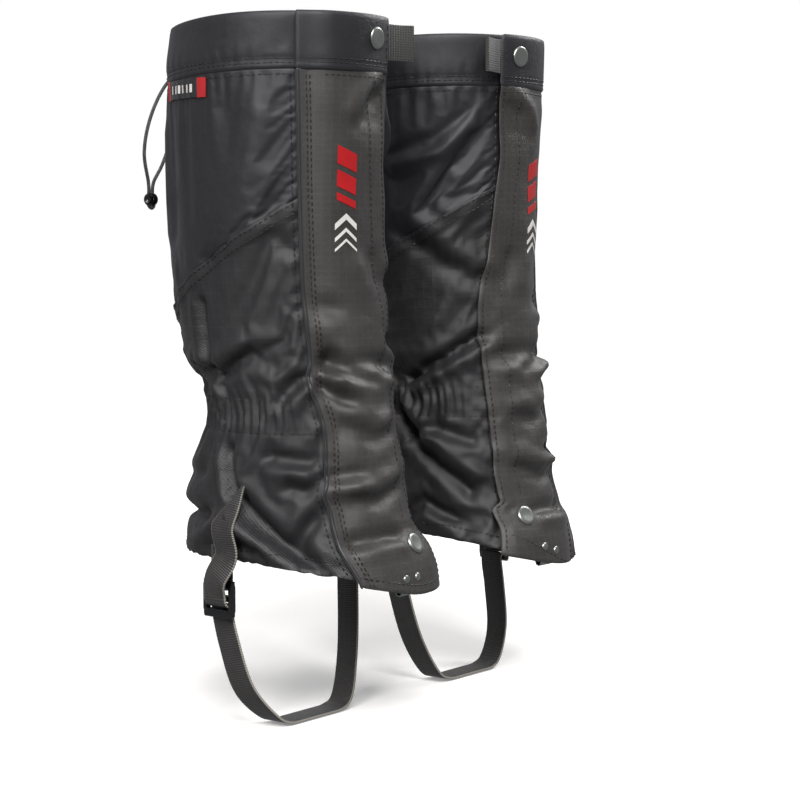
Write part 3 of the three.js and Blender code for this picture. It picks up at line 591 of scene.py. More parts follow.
def tube_mesh(line, radius, sides=8):
    """A closed round tube along a line, with domed ends."""
    line = np.asarray(line, float)
    along = np.gradient(line, axis=0)
    along /= np.linalg.norm(along, axis=1, keepdims=True)
    first = np.cross(along[0], (0, 0, 1) if abs(along[0][2]) < 0.9 else (1, 0, 0))
    normals = [first / np.linalg.norm(first)]
    for way in along[1:]:
        turned = normals[-1] - way * np.dot(normals[-1], way)
        normals.append(turned / np.linalg.norm(turned))
    normals = np.array(normals)
    sideways = np.cross(along, normals)
    turn = np.linspace(0, 2 * math.pi, sides, endpoint=False)
    radius = np.broadcast_to(radius, len(line))
    ring = normals[:, None] * np.cos(turn)[None, :, None] + sideways[:, None] * np.sin(turn)[None, :,
        None]
    points = line[:, None] + ring * radius[:, None, None]
    run = np.concatenate([[0], np.cumsum(np.linalg.norm(np.diff(line, axis=0), axis=1))])
    uv = np.stack(np.broadcast_arrays(turn[None] * radius.mean(), run[:, None]), -1) / 1000
    n = len(line)
    faces = []
    for k in range(n - 1):
        for q in range(sides):
            a, b = k * sides + q, k * sides + (q + 1) % sides
            faces.append((a, b, b + sides, a + sides))
    faces.append(tuple(range(sides - 1, -1, -1)))
    faces.append(tuple((n - 1) * sides + q for q in range(sides)))
    return points.reshape(-1, 3), faces, uv.reshape(-1, 2)


def joined(parts):
    """Several (points, faces, uv) as one."""
    points, faces, uv, count = [], [], [], 0
    for some_points, some_faces, some_uv in parts:
        points.append(some_points)
        uv.append(some_uv)
        faces += [tuple(int(v) + count for v in face) for face in some_faces]
        count += len(some_points)
    return np.concatenate(points), faces, np.concatenate(uv)


def stitch_row(points, out, length, gap, width, lift=0.06):
    """Stitches along a line on cloth: each one a short thread that dips in at both ends."""
    points, out = np.asarray(points, float), np.asarray(out, float)
    run = np.concatenate([[0], np.cumsum(np.linalg.norm(np.diff(points, axis=0), axis=1))])
    count = int(run[-1] // (length + gap))
    if count < 1:
        return []
    starts = (np.arange(count) + 0.5) * run[-1] / count

    def spot(where, grid):
        return np.stack([np.interp(where, run, grid[:, k]) for k in range(3)], -1)

    made = []
    reach = np.array([-0.5, -0.3, 0.3, 0.5]) * length
    rise = np.array([-0.3, 0.38, 0.38, -0.3]) * width
    for middle in starts:
        where = np.clip(middle + reach, 0, run[-1])
        spots, ways = spot(where, points), spot(where, out)
        along = spots[-1] - spots[0]
        size = np.linalg.norm(along)
        if size < 1e-6:
            continue
        cross = np.cross(along / size, ways[1])
        cross /= np.linalg.norm(cross)
        verts = [spots[0] + ways[0] * (rise[0] + lift)]
        for k in (1, 2):
            middle_point = spots[k] + ways[k] * lift
            verts += [
                middle_point + cross * width / 2,
                middle_point + ways[k] * rise[k],
                middle_point - cross * width / 2,
                middle_point - ways[k] * width * 0.4,
            ]
        verts.append(spots[3] + ways[3] * (rise[3] + lift))
        faces = [(0, 1 + (q + 1) % 4, 1 + q) for q in range(4)]
        faces += [(1 + q, 1 + (q + 1) % 4, 5 + (q + 1) % 4, 5 + q) for q in range(4)]
        faces += [(9, 5 + q, 5 + (q + 1) % 4) for q in range(4)]
        made.append((np.array(verts), faces, np.zeros((10, 2))))
    return made


# ---- Materials ----

def linear(colour):
    """An sRGB hex colour as linear red, green, blue and alpha."""
    parts = [int(colour[k:k + 2], 16) / 255 for k in (1, 3, 5)]
    return [c / 12.92 if c <= 0.04045 else ((c + 0.055) / 1.055) ** 2.4 for c in parts] + [1.0]


def add_node(tree, kind, links=(), values=(), **settings):
    """Adds a node. settings are its properties, values its inputs and links its connections."""
    made = tree.nodes.new(kind)
    for name, value in settings.items():
        setattr(made, name, value)
    for socket, value in dict(values).items():
        made.inputs[socket].default_value = value
    for socket, source in dict(links).items():
        tree.links.new(source, made.inputs[socket])
    return made.outputs


def new_material(name, **surface):
    """A Principled material; surface gives its sockets, with _ for a space."""
    material = bpy.data.materials.new(name)
    material.use_nodes = True
    tree = material.node_tree
    shader = tree.nodes["Principled BSDF"]
    for socket, value in surface.items():
        shader.inputs[socket.replace("_", " ")].default_value = value
    return material, tree, shader


def math_node(tree, operation, *inputs):
    links = {k: v for k, v in enumerate(inputs) if not isinstance(v, (int, float))}
    values = {k: v for k, v in enumerate(inputs) if isinstance(v, (int, float))}
    return add_node(tree, "ShaderNodeMath", links, values, operation=operation)[0]


def woven_cloth(name, dark, light, thread, grid, grid_rise, roughness, sheen, crumple):
    """Woven synthetic cloth. thread is the distance between threads and grid the distance
    between its reinforcing threads, in metres; 0 gives none."""
    material, tree, shader = new_material(
        name, Sheen_Weight=sheen, Sheen_Roughness=0.45, Sheen_Tint=linear("#c8c8d0"),
            Specular_IOR_Level=0.42)
    place = add_node(tree, "ShaderNodeTexCoord")
    split = add_node(tree, "ShaderNodeSeparateXYZ", {0: place["UV"]})
    waves = [math_node(tree, "SINE", math_node(tree, "MULTIPLY", axis,
        2 * math.pi / thread)) for axis in split[:2]]
    height = math_node(tree, "MULTIPLY", waves[0], waves[1])
    if grid:
        lines = []
        for axis in split[:2]:
            off = math_node(tree, "PINGPONG", axis, grid / 2)
            lines.append(math_node(tree, "SUBTRACT", 1.0, math_node(tree, "SMOOTH_MIN", math_node(
                tree, "DIVIDE", off, thread * 0.55), 1.0, 0.3)))
        ridge = math_node(tree, "MAXIMUM", *lines)
        height = math_node(tree, "ADD", height, math_node(tree, "MULTIPLY", ridge, grid_rise))
    patches = add_node(tree, "ShaderNodeTexNoise", {"Vector": place["Object"]},
        {"Scale": 14.0, "Detail": 5.0, "Roughness": 0.6})
    slubs = add_node(tree, "ShaderNodeTexNoise", {"Vector": place["Object"]},
        {"Scale": 520.0, "Detail": 2.0})
    shade = math_node(tree, "ADD", math_node(tree, "MULTIPLY", patches["Fac"], 0.5),
        math_node(tree, "MULTIPLY", slubs["Fac"], 0.42))
    shade = math_node(tree, "ADD", shade, math_node(tree, "MULTIPLY", height, 0.16))
    colour = add_node(tree, "ShaderNodeMix", {0: shade}, {6: linear(dark), 7: linear(light)},
        data_type="RGBA")
    tree.links.new(colour[2], shader.inputs["Base Color"])
    rough = add_node(tree, "ShaderNodeMapRange", {0: patches["Fac"]},
        {1: 0.3, 2: 0.7, 3: roughness - 0.06, 4: roughness + 0.07})
    tree.links.new(rough[0], shader.inputs["Roughness"])
    creases = add_node(tree, "ShaderNodeTexNoise", {"Vector": place["Object"]},
        {"Scale": 75.0, "Detail": 4.0, "Roughness": 0.55})
    worn = add_node(tree, "ShaderNodeBump", {"Height": creases["Fac"]},
        {"Strength": 0.8, "Distance": crumple})
    weave = add_node(tree, "ShaderNodeBump", {"Height": height, "Normal": worn[0]},
        {"Strength": 0.85, "Distance": thread * 0.05})
    tree.links.new(weave[0], shader.inputs["Normal"])
    return material


def ribbed_band(name, dark, light, rib, roughness, edge=None, half_width=1.0, sheen=0.25):
    """Narrow woven band with ribs across its length. edge is the colour of its cut sides."""
    material, tree, shader = new_material(name, Sheen_Weight=sheen, Sheen_Roughness=0.5)
    place = add_node(tree, "ShaderNodeTexCoord")
    split = add_node(tree, "ShaderNodeSeparateXYZ", {0: place["UV"]})
    ribs = math_node(tree, "SINE", math_node(tree, "MULTIPLY", split[1], 2 * math.pi / rib))
    warp = math_node(tree, "SINE", math_node(tree, "MULTIPLY", split[0], 2 * math.pi / (rib * 0.8)))
    height = math_node(tree, "ADD", ribs, math_node(tree, "MULTIPLY", warp, 0.35))
    grime = add_node(tree, "ShaderNodeTexNoise", {"Vector": place["Object"]},
        {"Scale": 120.0, "Detail": 4.0})
    shade = math_node(tree, "ADD", grime["Fac"], math_node(tree, "MULTIPLY", height, 0.18))
    colour = add_node(tree, "ShaderNodeMix", {0: shade}, {6: linear(dark), 7: linear(light)},
        data_type="RGBA")[2]
    if edge:
        side = math_node(tree, "ABSOLUTE", split[0])
        cut = add_node(tree, "ShaderNodeMapRange", {0: side},
            {1: half_width - 0.0009, 2: half_width - 0.0003})
        colour = add_node(tree, "ShaderNodeMix", {0: cut[0], 6: colour}, {7: linear(edge)},
            data_type="RGBA")[2]
    tree.links.new(colour, shader.inputs["Base Color"])
    rough = add_node(tree, "ShaderNodeMapRange", {0: grime["Fac"]},
        {1: 0.3, 2: 0.7, 3: roughness - 0.07, 4: roughness + 0.07})
    tree.links.new(rough[0], shader.inputs["Roughness"])
    bump = add_node(tree, "ShaderNodeBump", {"Height": height},
        {"Strength": 0.9, "Distance": rib * 0.12})
    tree.links.new(bump[0], shader.inputs["Normal"])
    return material


def grained(name, dark, light, scale, roughness, spread, depth, **surface):
    """A plain solid with uneven colour, gloss and surface; scale is the grain's count in a metre."""
    material, tree, shader = new_material(name, **surface)
    place = add_node(tree, "ShaderNodeTexCoord")
    grain = add_node(tree, "ShaderNodeTexNoise", {"Vector": place["Object"]},
        {"Scale": scale, "Detail": 5.0, "Roughness": 0.6})
    broad = add_node(tree, "ShaderNodeTexNoise", {"Vector": place["Object"]},
        {"Scale": scale / 9, "Detail": 3.0})
    shade = math_node(tree, "ADD", math_node(tree, "MULTIPLY", grain["Fac"], 0.5),
        math_node(tree, "MULTIPLY", broad["Fac"], 0.5))
    colour = add_node(tree, "ShaderNodeMix", {0: shade}, {6: linear(dark), 7: linear(light)},
        data_type="RGBA")
    tree.links.new(colour[2], shader.inputs["Base Color"])
    rough = add_node(tree, "ShaderNodeMapRange", {0: shade},
        {1: 0.35, 2: 0.65, 3: roughness - spread, 4: roughness + spread})
    tree.links.new(rough[0], shader.inputs["Roughness"])
    bump = add_node(tree, "ShaderNodeBump", {"Height": grain["Fac"]},
        {"Strength": 0.6, "Distance": depth})
    tree.links.new(bump[0], shader.inputs["Normal"])
    return material


def tape_material(name, colour, dots, height_of):
    """Hook or loop tape: stiff hooks in rows, or a brushed nap."""
    material, tree, shader = new_material(name, Roughness=0.85, Sheen_Weight=0.3)
    place = add_node(tree, "ShaderNodeTexCoord")
    if dots:
        split = add_node(tree, "ShaderNodeSeparateXYZ", {0: place["UV"]})
        waves = [math_node(tree, "SINE", math_node(tree, "MULTIPLY", axis,
            2 * math.pi / dots)) for axis in split[:2]]
        height = math_node(tree, "MULTIPLY", *waves)
    else:
        height = add_node(tree, "ShaderNodeTexNoise", {"Vector": place["Object"]},
            {"Scale": 900.0, "Detail": 4.0})["Fac"]
    tint = add_node(tree, "ShaderNodeMix", {0: height}, {6: linear(colour), 7: linear("#3a3a3e")},
        data_type="RGBA")
    tree.links.new(tint[2], shader.inputs["Base Color"])
    bump = add_node(tree, "ShaderNodeBump", {"Height": height},
        {"Strength": 1.0, "Distance": height_of})
    tree.links.new(bump[0], shader.inputs["Normal"])
    return material


def make_materials():
    """Every finish of the pair. Threads are drawn coarser than the real 0.3 to 0.5 mm, which
    would be too fine to show."""
    colours = bpy.context.scene.gaiter_colours

    def hex_of(colour):
        parts = [12.92 * c if c <= 0.0031308 else 1.055 * c ** (1 / 2.4) - 0.055 for c in colour]
        return "#" + "".join(f"{round(max(0, min(1, c)) * 255):02x}" for c in parts)

    red, white = hex_of(colours.red_print), hex_of(colours.white_print)
    return {
        # Plain-woven nylon with a polyurethane back: an even, faintly lustrous dark grey
        "smooth": woven_cloth("Plain-woven nylon", "#0e0e10", hex_of(colours.upper_cloth), 0.0013, 0, 0,
        0.46, 0.04, 0.0010),
        # Heavy basket-woven nylon with stronger threads in a grid: dull, coarse and hard-wearing
        "heavy": woven_cloth("Heavy ripstop nylon", "#0b0b0c", hex_of(colours.lower_cloth), 0.0017,
        0.0075, 0.9, 0.52, 0.03, 0.0012),
        # Ripstop nylon, finer than the lower cloth: its small squares catch the light
        "flap": woven_cloth("Fine ripstop nylon", "#1a1918", hex_of(colours.flap_cloth), 0.0014, 0.0046,
        0.9, 0.46, 0.04, 0.0008),
        # Polyurethane coating on the cloth's back: near black, slightly waxy
        "coating": grained("Polyurethane-coated back", "#0b0b0d", "#17171a", 300.0, 0.5, 0.08, 0.0002),
        # Twisted polyester thread: black, with a soft shine on each stitch
        "thread": grained("Twisted polyester thread", "#050506", "#0f0f11", 1500.0, 0.55, 0.1, 0.0001),
        # Folded binding over a cord: tight black cloth, a little shiny on its crown
        "piping": grained("Bound nylon piping", "#0d0d0f", "#1d1d20", 900.0, 0.5, 0.1, 0.0002,
        Sheen_Weight=0.2),
        # Ribbed nylon webbing: thick soft ribs across the band
        "webbing": ribbed_band("Ribbed nylon webbing", "#131312", "#32312e", 0.0021, 0.75),
        # Coated strap: smooth plastic over webbing, so its ribs are faint and its cut sides pale
        "strap": ribbed_band("Polyurethane-coated strap", "#1c1a19", "#343130", 0.0016, 0.42, "#8b877f",
        0.0100, 0.08),
        "elastic": ribbed_band("Woven elastic", "#0c0c0c", "#1e1e1e", 0.0019, 0.7),
        "cord": ribbed_band("Braided elastic cord", "#0b0b0b", "#242426", 0.0022, 0.6),
        # Moulded nylon hooks in rows, and the brushed nap that they catch
        "hooks": tape_material("Hook tape", "#101012", 0.0017, 0.0004),
        "loops": tape_material("Loop tape", "#0d0d0f", 0, 0.0008),
        # Nickel-plated brass snaps: a soft satin metal with fine scuffs
        "nickel": grained("Satin nickel plate", "#7c807c", "#a3a6a2", 700.0, 0.36, 0.08, 0.00005,
        Metallic=1.0),
        "steel": grained("Stainless steel", "#7f8282", "#9fa2a2", 900.0, 0.34, 0.08, 0.00005,
        Metallic=1.0),
        # Injection-moulded acetal: black, glossy, with a faint flow texture
        "plastic": grained("Moulded acetal", "#08080a", "#131315", 420.0, 0.2, 0.05, 0.00006),
        "label": woven_cloth("Damask label cloth", "#0b0b0c", "#1d1d1f", 0.0011, 0, 0, 0.7, 0.2,
        0.0002),
        "label_red": woven_cloth("Red damask label cloth", "#7d0f14", red, 0.0011, 0, 0, 0.65, 0.2,
        0.0002),
        "label_light": grained("Pale label thread", "#a9a6a2", "#d6d3cf", 900.0, 0.6, 0.1, 0.0002),
        # Raised soft-rubber print: even colour with a soft gloss
        "print_red": grained("Red rubber print", "#8d0a0f", red, 500.0, 0.42, 0.06, 0.0001),
        "print_white": grained("White rubber print", "#bfbcb8", white, 500.0, 0.45, 0.06, 0.0001),
    }


FINISH = {}
MADE = {side: {} for side in SIDES}


def settled_piece(obj, side, body, slot, *nodes, hinge=False):
    """Sets what a finished piece moves with, or bakes a hinged piece in place, and hides the nodes that it
    stands for. Its slot is not used.
    """
    if nodes:
        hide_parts(*[f"{side}_{node}" for node in nodes])
    if hinge:
        start, end = flap_turn(side)
        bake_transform(obj)
    else:
        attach(obj, body)
    return obj


def flap_turn(side):
    """Where the flap's cloth begins and ends its turn, just in front of its seam."""
    seam = seat(side) @ Vector(sleeve_point(flap_seam(300.0), 300.0, 2.0) - [1.5, 0, 0])
    lean = Vector((-SIDES[side], 0, 0.026))
    return seam, seam + lean * 0.026


class GaiterSizes(bpy.types.PropertyGroup):
    """Sizes that a maker may change without changing the frame."""
    cloth: bpy.props.FloatProperty(
        name="Cloth thickness", description="Thickness of the sleeve's cloth", default=0.0011,
            unit="LENGTH")
    fold_depth: bpy.props.FloatProperty(
        name="Fold depth", description="Share of the full depth of the worn folds", default=1.2,
            subtype="FACTOR")
    spare: bpy.props.FloatProperty(
        name="Spare cloth", description="Extra length that lets the cloth buckle", default=0.028,
            subtype="FACTOR")
    stitch: bpy.props.FloatProperty(
        name="Stitch length", description="Length of one stitch", default=0.0030, unit="LENGTH")
    stitch_gap: bpy.props.FloatProperty(
        name="Stitch gap", description="Space between two stitches", default=0.0011, unit="LENGTH")
    thread: bpy.props.FloatProperty(
        name="Thread width", description="Width of the sewing thread", default=0.0010, unit="LENGTH")
    piping: bpy.props.FloatProperty(
        name="Piping", description="Diameter of the piping along the flap's seam", default=0.0030,
            unit="LENGTH")
    cord: bpy.props.FloatProperty(
        name="Drawcord", description="Diameter of the drawcord", default=0.0025, unit="LENGTH")


def colour_property(name, description, value):
    return bpy.props.FloatVectorProperty(
        name=name, description=description, default=linear(value)[:3], subtype="COLOR", size=3, min=0,
            max=1)


class GaiterColours(bpy.types.PropertyGroup):
    """Colours that a maker may change."""
    upper_cloth: colour_property("Upper cloth", "The smooth cloth above the diagonal seam", "#2b2a2f")
    lower_cloth: colour_property("Lower cloth", "The heavy cloth below the diagonal seam", "#2a292b")
    flap_cloth: colour_property("Flap cloth", "The front flap", "#44413f")
    red_print: colour_property("Red print", "The red bars and the label's ends", "#c00d14")
    white_print: colour_property("White print", "The pale chevrons", "#dcd9d4")


def millimetres():
    """The sizes of the scene's settings in millimetres, and its shares as they are."""
    sizes = bpy.context.scene.gaiter_sizes
    return {name: getattr(sizes, name) * (1 if name in ("fold_depth", "spare") else 1000)
            for name in GaiterSizes.__annotations__}


def relief(angle, z, side):
    """Everything that moves the cloth in or out of its plain shape on one leg."""
    seed = {"left": 1.3, "right": 4.1}[side]
    slack = millimetres()["fold_depth"]
    turned = (np.asarray(angle, float) + 180) % 360 - 180
    worn = cloth_relief(angle, z, seed, slack)
    worn = worn + 1.3 * slack * fold_relief(angle, z, FLAP_FOLDS) * smooth(-np.abs(turned), -60, -38)
    for spot, height, reach in ((-14.5, HEM_SNAP_HEIGHT, 11), (-5, RIVET_HEIGHT, 13)):
        away = np.hypot(np.radians(turned - spot) * 90, np.asarray(z, float) - height)
        worn = worn * smooth(away, reach * 0.7, reach * 1.5)
    return worn


def flap_offset(share):
    """The flap's inner face above the panels: down on them at its seam, raised at its edge."""
    return 4.2 - 2.85 * smooth(share, 0.68, 0.94)


def share_of_flap(cloth):
    low, high = flap_edge(cloth.z), flap_seam(cloth.z)
    return np.clip((cloth.angle - low) / (high - low), 0, 1)


def level(height):
    return lambda angle: np.full(np.shape(angle), float(height))


def angle_line(value):
    return lambda z: np.full(np.shape(z), float(value))


class GAITERS_OT_sleeves(bpy.types.Operator):
    """Builds the four panels of each sleeve, its underlap and its ankle elastic"""
    bl_idname = "gaiters.sleeves"
    bl_label = "Sleeves"

    def execute(self, context):
        sizes = millimetres()
        for side in SIDES:
            hem_height = hem_of(side)
            half = 48
            last = half + 54
            stops = lambda k: (
                [(flap_seam, 0), (angle_line(180), k * half),
                 (lambda z: 360 + underlap_edge(z) - arc(0.2, z), k * last)],
                [(hem_height, 0), (cloth_seam, k * 44), (lambda a: collar_seam_at(a) - 0.3, k * 74)])
            coarse = Cloth(*stops(1))
            coarse.lift(relief(coarse.angle, coarse.z, side))
            before = coarse.points
            held = np.zeros(coarse.z.shape)
            held += 0.5 * smooth(-np.abs(coarse.z - ANKLE), -13, -8)
            held[44] = np.maximum(held[44], 0.3)
            held[:, 1] = held[:, -2] = 0.5
            held[0] = 0.45
            held[-2] = 0.4
            held[:, 0] = held[:, -1] = held[-1] = 1
            settle(coarse, held, sizes["spare"], 4.5)
            sleeve = Cloth(*stops(2))
            sleeve.lift(relief(sleeve.angle, sleeve.z, side))
            sleeve.points = sleeve.points + double(double(coarse.points - before, 0), 1)
            MADE[side]["sleeve"] = sleeve
            seam_row, rear = 88, 2 * half
            below_edge = cloth_seam(sleeve.angle) - sleeve.z
            height = 1.2 * smooth(-below_edge, -11,
                -7) * (below_edge >= -0.01) + 0.5 * np.exp(-(below_edge / 2.2) ** 2)
            grooves = [np.abs(sleeve.z - CHANNEL_HIGH), np.abs(sleeve.z - CHANNEL_LOW),
                np.abs(sleeve.z - hem_height(sleeve.angle) - 9)]
            for off in grooves:
                height -= 0.45 * np.exp(-(off / 2.2) ** 2)
            rear_seam = np.abs((sleeve.angle - 180)) / arc(1.0, sleeve.z, 180.0)
            height -= 0.7 * np.exp(-(rear_seam / 1.6) ** 2)
            lifted = sleeve.points + sleeve.out() * height[..., None]
            rows = {"lower": slice(0, seam_row + 1), "upper": slice(seam_row, None)}
            columns = {"outer": slice(0, rear + 1), "inner": slice(rear, None)}
            for level_name, row_cut in rows.items():
                for way_name, column_cut in columns.items():
                    piece = sleeve.part(row_cut, column_cut)
                    heavy = level_name == "lower"
                    source = lifted if heavy else sleeve.points
                    piece.points = source[row_cut, column_cut].copy()
                    name = f"{side}_{level_name}_{way_name}_panel"
                    obj = sheet_piece(f"{name}_cloth", side, piece,
                        sizes["cloth"] * (1.15 if heavy else 1),
                                      FINISH["heavy" if heavy else "smooth"], FINISH["coating"], name)
                    settled_piece(obj, side, ROOT, "heavy_ripstop" if heavy else "smooth_nylon")
                    declare_sheet(piece)
            sleeve.points = lifted
            underlap = Cloth(
                [(lambda z: underlap_edge(z) + arc(0.7, z), 0),
                (lambda z: flap_seam(z) - arc(0.9, z), 22)],
                [(lambda a: hem_height(a) + 13, 0), (level(COLLAR_SEAM - 0.3), 110)])
            underlap.lift(relief(underlap.angle, underlap.z, side))
            MADE[side]["underlap"] = underlap
            obj = sheet_piece(f"{side}_underlap_cloth", side, underlap, sizes["cloth"],
                FINISH["smooth"],
                              FINISH["coating"], f"{side}_underlap")
            settled_piece(obj, side, ROOT, "smooth_nylon")
            declare_sheet(underlap)
            elastic = Cloth(
                [(lambda z: flap_seam(z) + arc(6, z), 0),
                (lambda z: 360 + underlap_edge(z) - arc(6, z), 150)],
                [(level(207), 0), (level(227), 6)], -2.9)
            ripple = 0.45 * np.sin(np.radians(elastic.angle) * LEG_RADIUS * 2 * math.pi / 7.4)
            elastic.lift(np.minimum(relief(elastic.angle, elastic.z, side), 0.0) + ripple - 1.2)
            points, faces, border, _ = slab_mesh(elastic.points, 1.0)
            flat = np.stack([elastic.z / 1000, np.radians(elastic.angle) * LEG_RADIUS / 1000],
            -1).reshape(-1, 2)
            obj = build(f"{side}_ankle_elastic_band", side, points, faces, FINISH["elastic"],
                        np.concatenate([flat, flat, flat[border]]))
            settled_piece(obj, side, ROOT, "black_elastic", "ankle_elastic")
        return {"FINISHED"}


class GAITERS_OT_collars(bpy.types.Operator):
    """Builds the folded collar of each gaiter"""
    bl_idname = "gaiters.collars"
    bl_label = "Collars"

    def execute(self, context):
        for side in SIDES:
            collar = Cloth([(lambda z: 24 + arc(0.2, z), 0), (lambda z: 384 - arc(0.2, z), 220)],
                           [(collar_seam_at, 0), (collar_top, 18)])
            x = np.radians(collar.angle) * LEG_RADIUS
            edge = smooth(collar.z, collar_top(collar.angle) - 6, collar_top(collar.angle))
            above = collar.z - collar_seam_at(collar.angle)
            seam = np.exp(-((above - 5.5) / 1.8) ** 2)
            pucker = 0.3 * np.sin(x * 2 * math.pi / 9.0 + np.sin(x / 14)) * np.exp(-((above - 9) / 7) ** 2)
            soft = 1.0 * unevenness(x, collar.z, 2.0 + SIDES[side], 44) * smooth(above, 4, 18)
            rear = smooth(-np.cos(np.radians(collar.angle)), -0.5, 0.5)
            soft = soft - 4.0 * rear * smooth(collar.z, COLLAR_SEAM, TOP)
            collar.lift(0.75 - 0.55 * seam - 0.5 * edge ** 3 + pucker + soft)
            MADE[side]["collar"] = collar
            obj = sheet_piece(f"{side}_collar_band", side, collar, 2.1, FINISH["smooth"],
                FINISH["coating"],
                              f"{side}_collar", rim=0.5)
            settled_piece(obj, side, ROOT, "smooth_nylon")
            declare_sheet(collar)
        return {"FINISHED"}


class GAITERS_OT_flaps(bpy.types.Operator):
    """Builds each front flap, its collar end, its piping and the tapes that close it"""
    bl_idname = "gaiters.flaps"
    bl_label = "Front flaps"

    def execute(self, context):
        sizes = millimetres()
        for side in SIDES:
            hem_height = hem_of(side)
            across = [(flap_edge, 0), (lambda z: flap_seam(z) + arc(1, z), 34)]
            flap = Cloth(across, [(lambda a: hem_height(a) - 4, 0), (level(COLLAR_SEAM - 0.3), 150)])
            share = share_of_flap(flap)
            x = share * 62
            hem = np.abs(flap.z - hem_height(flap.angle) + 4)
            rows = [np.abs(1 - share) * 62 - 6.5, share * 62 - 3.0, share * 62 - 17.0]
            pressed = sum(0.35 * np.exp(-(row / 1.8) ** 2) for row in rows)
            lip = 0.8 * np.exp(-((1 - share) * 62 / 2.4) ** 2)
            curl = 1.3 * np.exp(-(share * 62 / 7) ** 2) * unevenness(flap.z, x, 3.0 + SIDES[side], 60)
            corner = 6.5 * smooth(-share, -0.42, 0) * smooth(-flap.z, -150, -104)
            flap.lift(corner + flap_offset(share) + 1.4 + relief(flap.angle, flap.z,
            side) - pressed + lip + curl
                      + 0.4 * np.exp(-(hem / 3) ** 2))
            MADE[side]["flap"] = flap
            obj = sheet_piece(f"{side}_front_flap_cloth", side, flap, 1.3, FINISH["flap"],
                FINISH["coating"],
                              f"{side}_front_flap", rim=0.45)
            settled_piece(obj, side, None, "flap_ripstop", hinge=True)
            declare_sheet(flap)

            end = Cloth(across, [(level(COLLAR_SEAM), 0), (level(TOP), 16)])
            share = share_of_flap(end)
            edge = smooth(end.z, 476, TOP)
            seam = np.exp(-((end.z - 449.5) / 1.8) ** 2)
            end.lift(flap_offset(share) + 2.7 - 0.5 * seam - 0.5 * edge ** 3
                     + 0.4 * unevenness(share * 60, end.z, 5.0 + SIDES[side], 40))
            MADE[side]["collar_end"] = end
            obj = sheet_piece(f"{side}_collar_end_band", side, end, 2.2, FINISH["smooth"],
                FINISH["coating"],
                              f"{side}_collar_end", rim=0.5)
            settled_piece(obj, side, None, "smooth_nylon", hinge=True)
            declare_sheet(end)

            z = np.linspace(96, COLLAR_SEAM - 1.5, 190)
            line, _ = flap.at(flap_seam(z) + arc(0.4, z), z, -0.2)
            points, faces, uv = tube_mesh(line, sizes["piping"] / 2, 10)
            obj = build(f"{side}_flap_piping", side, points, faces, FINISH["piping"], uv)
            settled_piece(obj, side, ROOT, "flap_ripstop")

            tape_edge = lambda z: underlap_edge(z) + arc(3, z)
            sides = [(tape_edge, 0), (lambda z: tape_edge(z) + arc(20, z), 10)]
            ends = [(lambda a: hem_height(a) + 36, 0), (level(COLLAR_SEAM - 8), 100)]
            for node, offset, finish, body in (("loop_tape", 1.5, "loops", ROOT),
            ("hook_tape", 3.0, "hooks", f"{side}_flap")):
                tape = Cloth(sides, ends)
                tape.lift(offset + relief(tape.angle, tape.z, side))
                backing = FINISH["coating"] if node == "loop_tape" else FINISH["hooks"]
                obj = sheet_piece(f"{side}_{node}_strip", side, tape, 0.9, FINISH[finish], backing,
                    f"{side}_{node}")
                settled_piece(obj, side, body, "hook_tape")
                declare_sheet(tape)
        return {"FINISHED"}


def seam_line(cloth, angle, z, lift=0.0):
    return cloth.at(np.asarray(angle, float), np.asarray(z, float), lift)


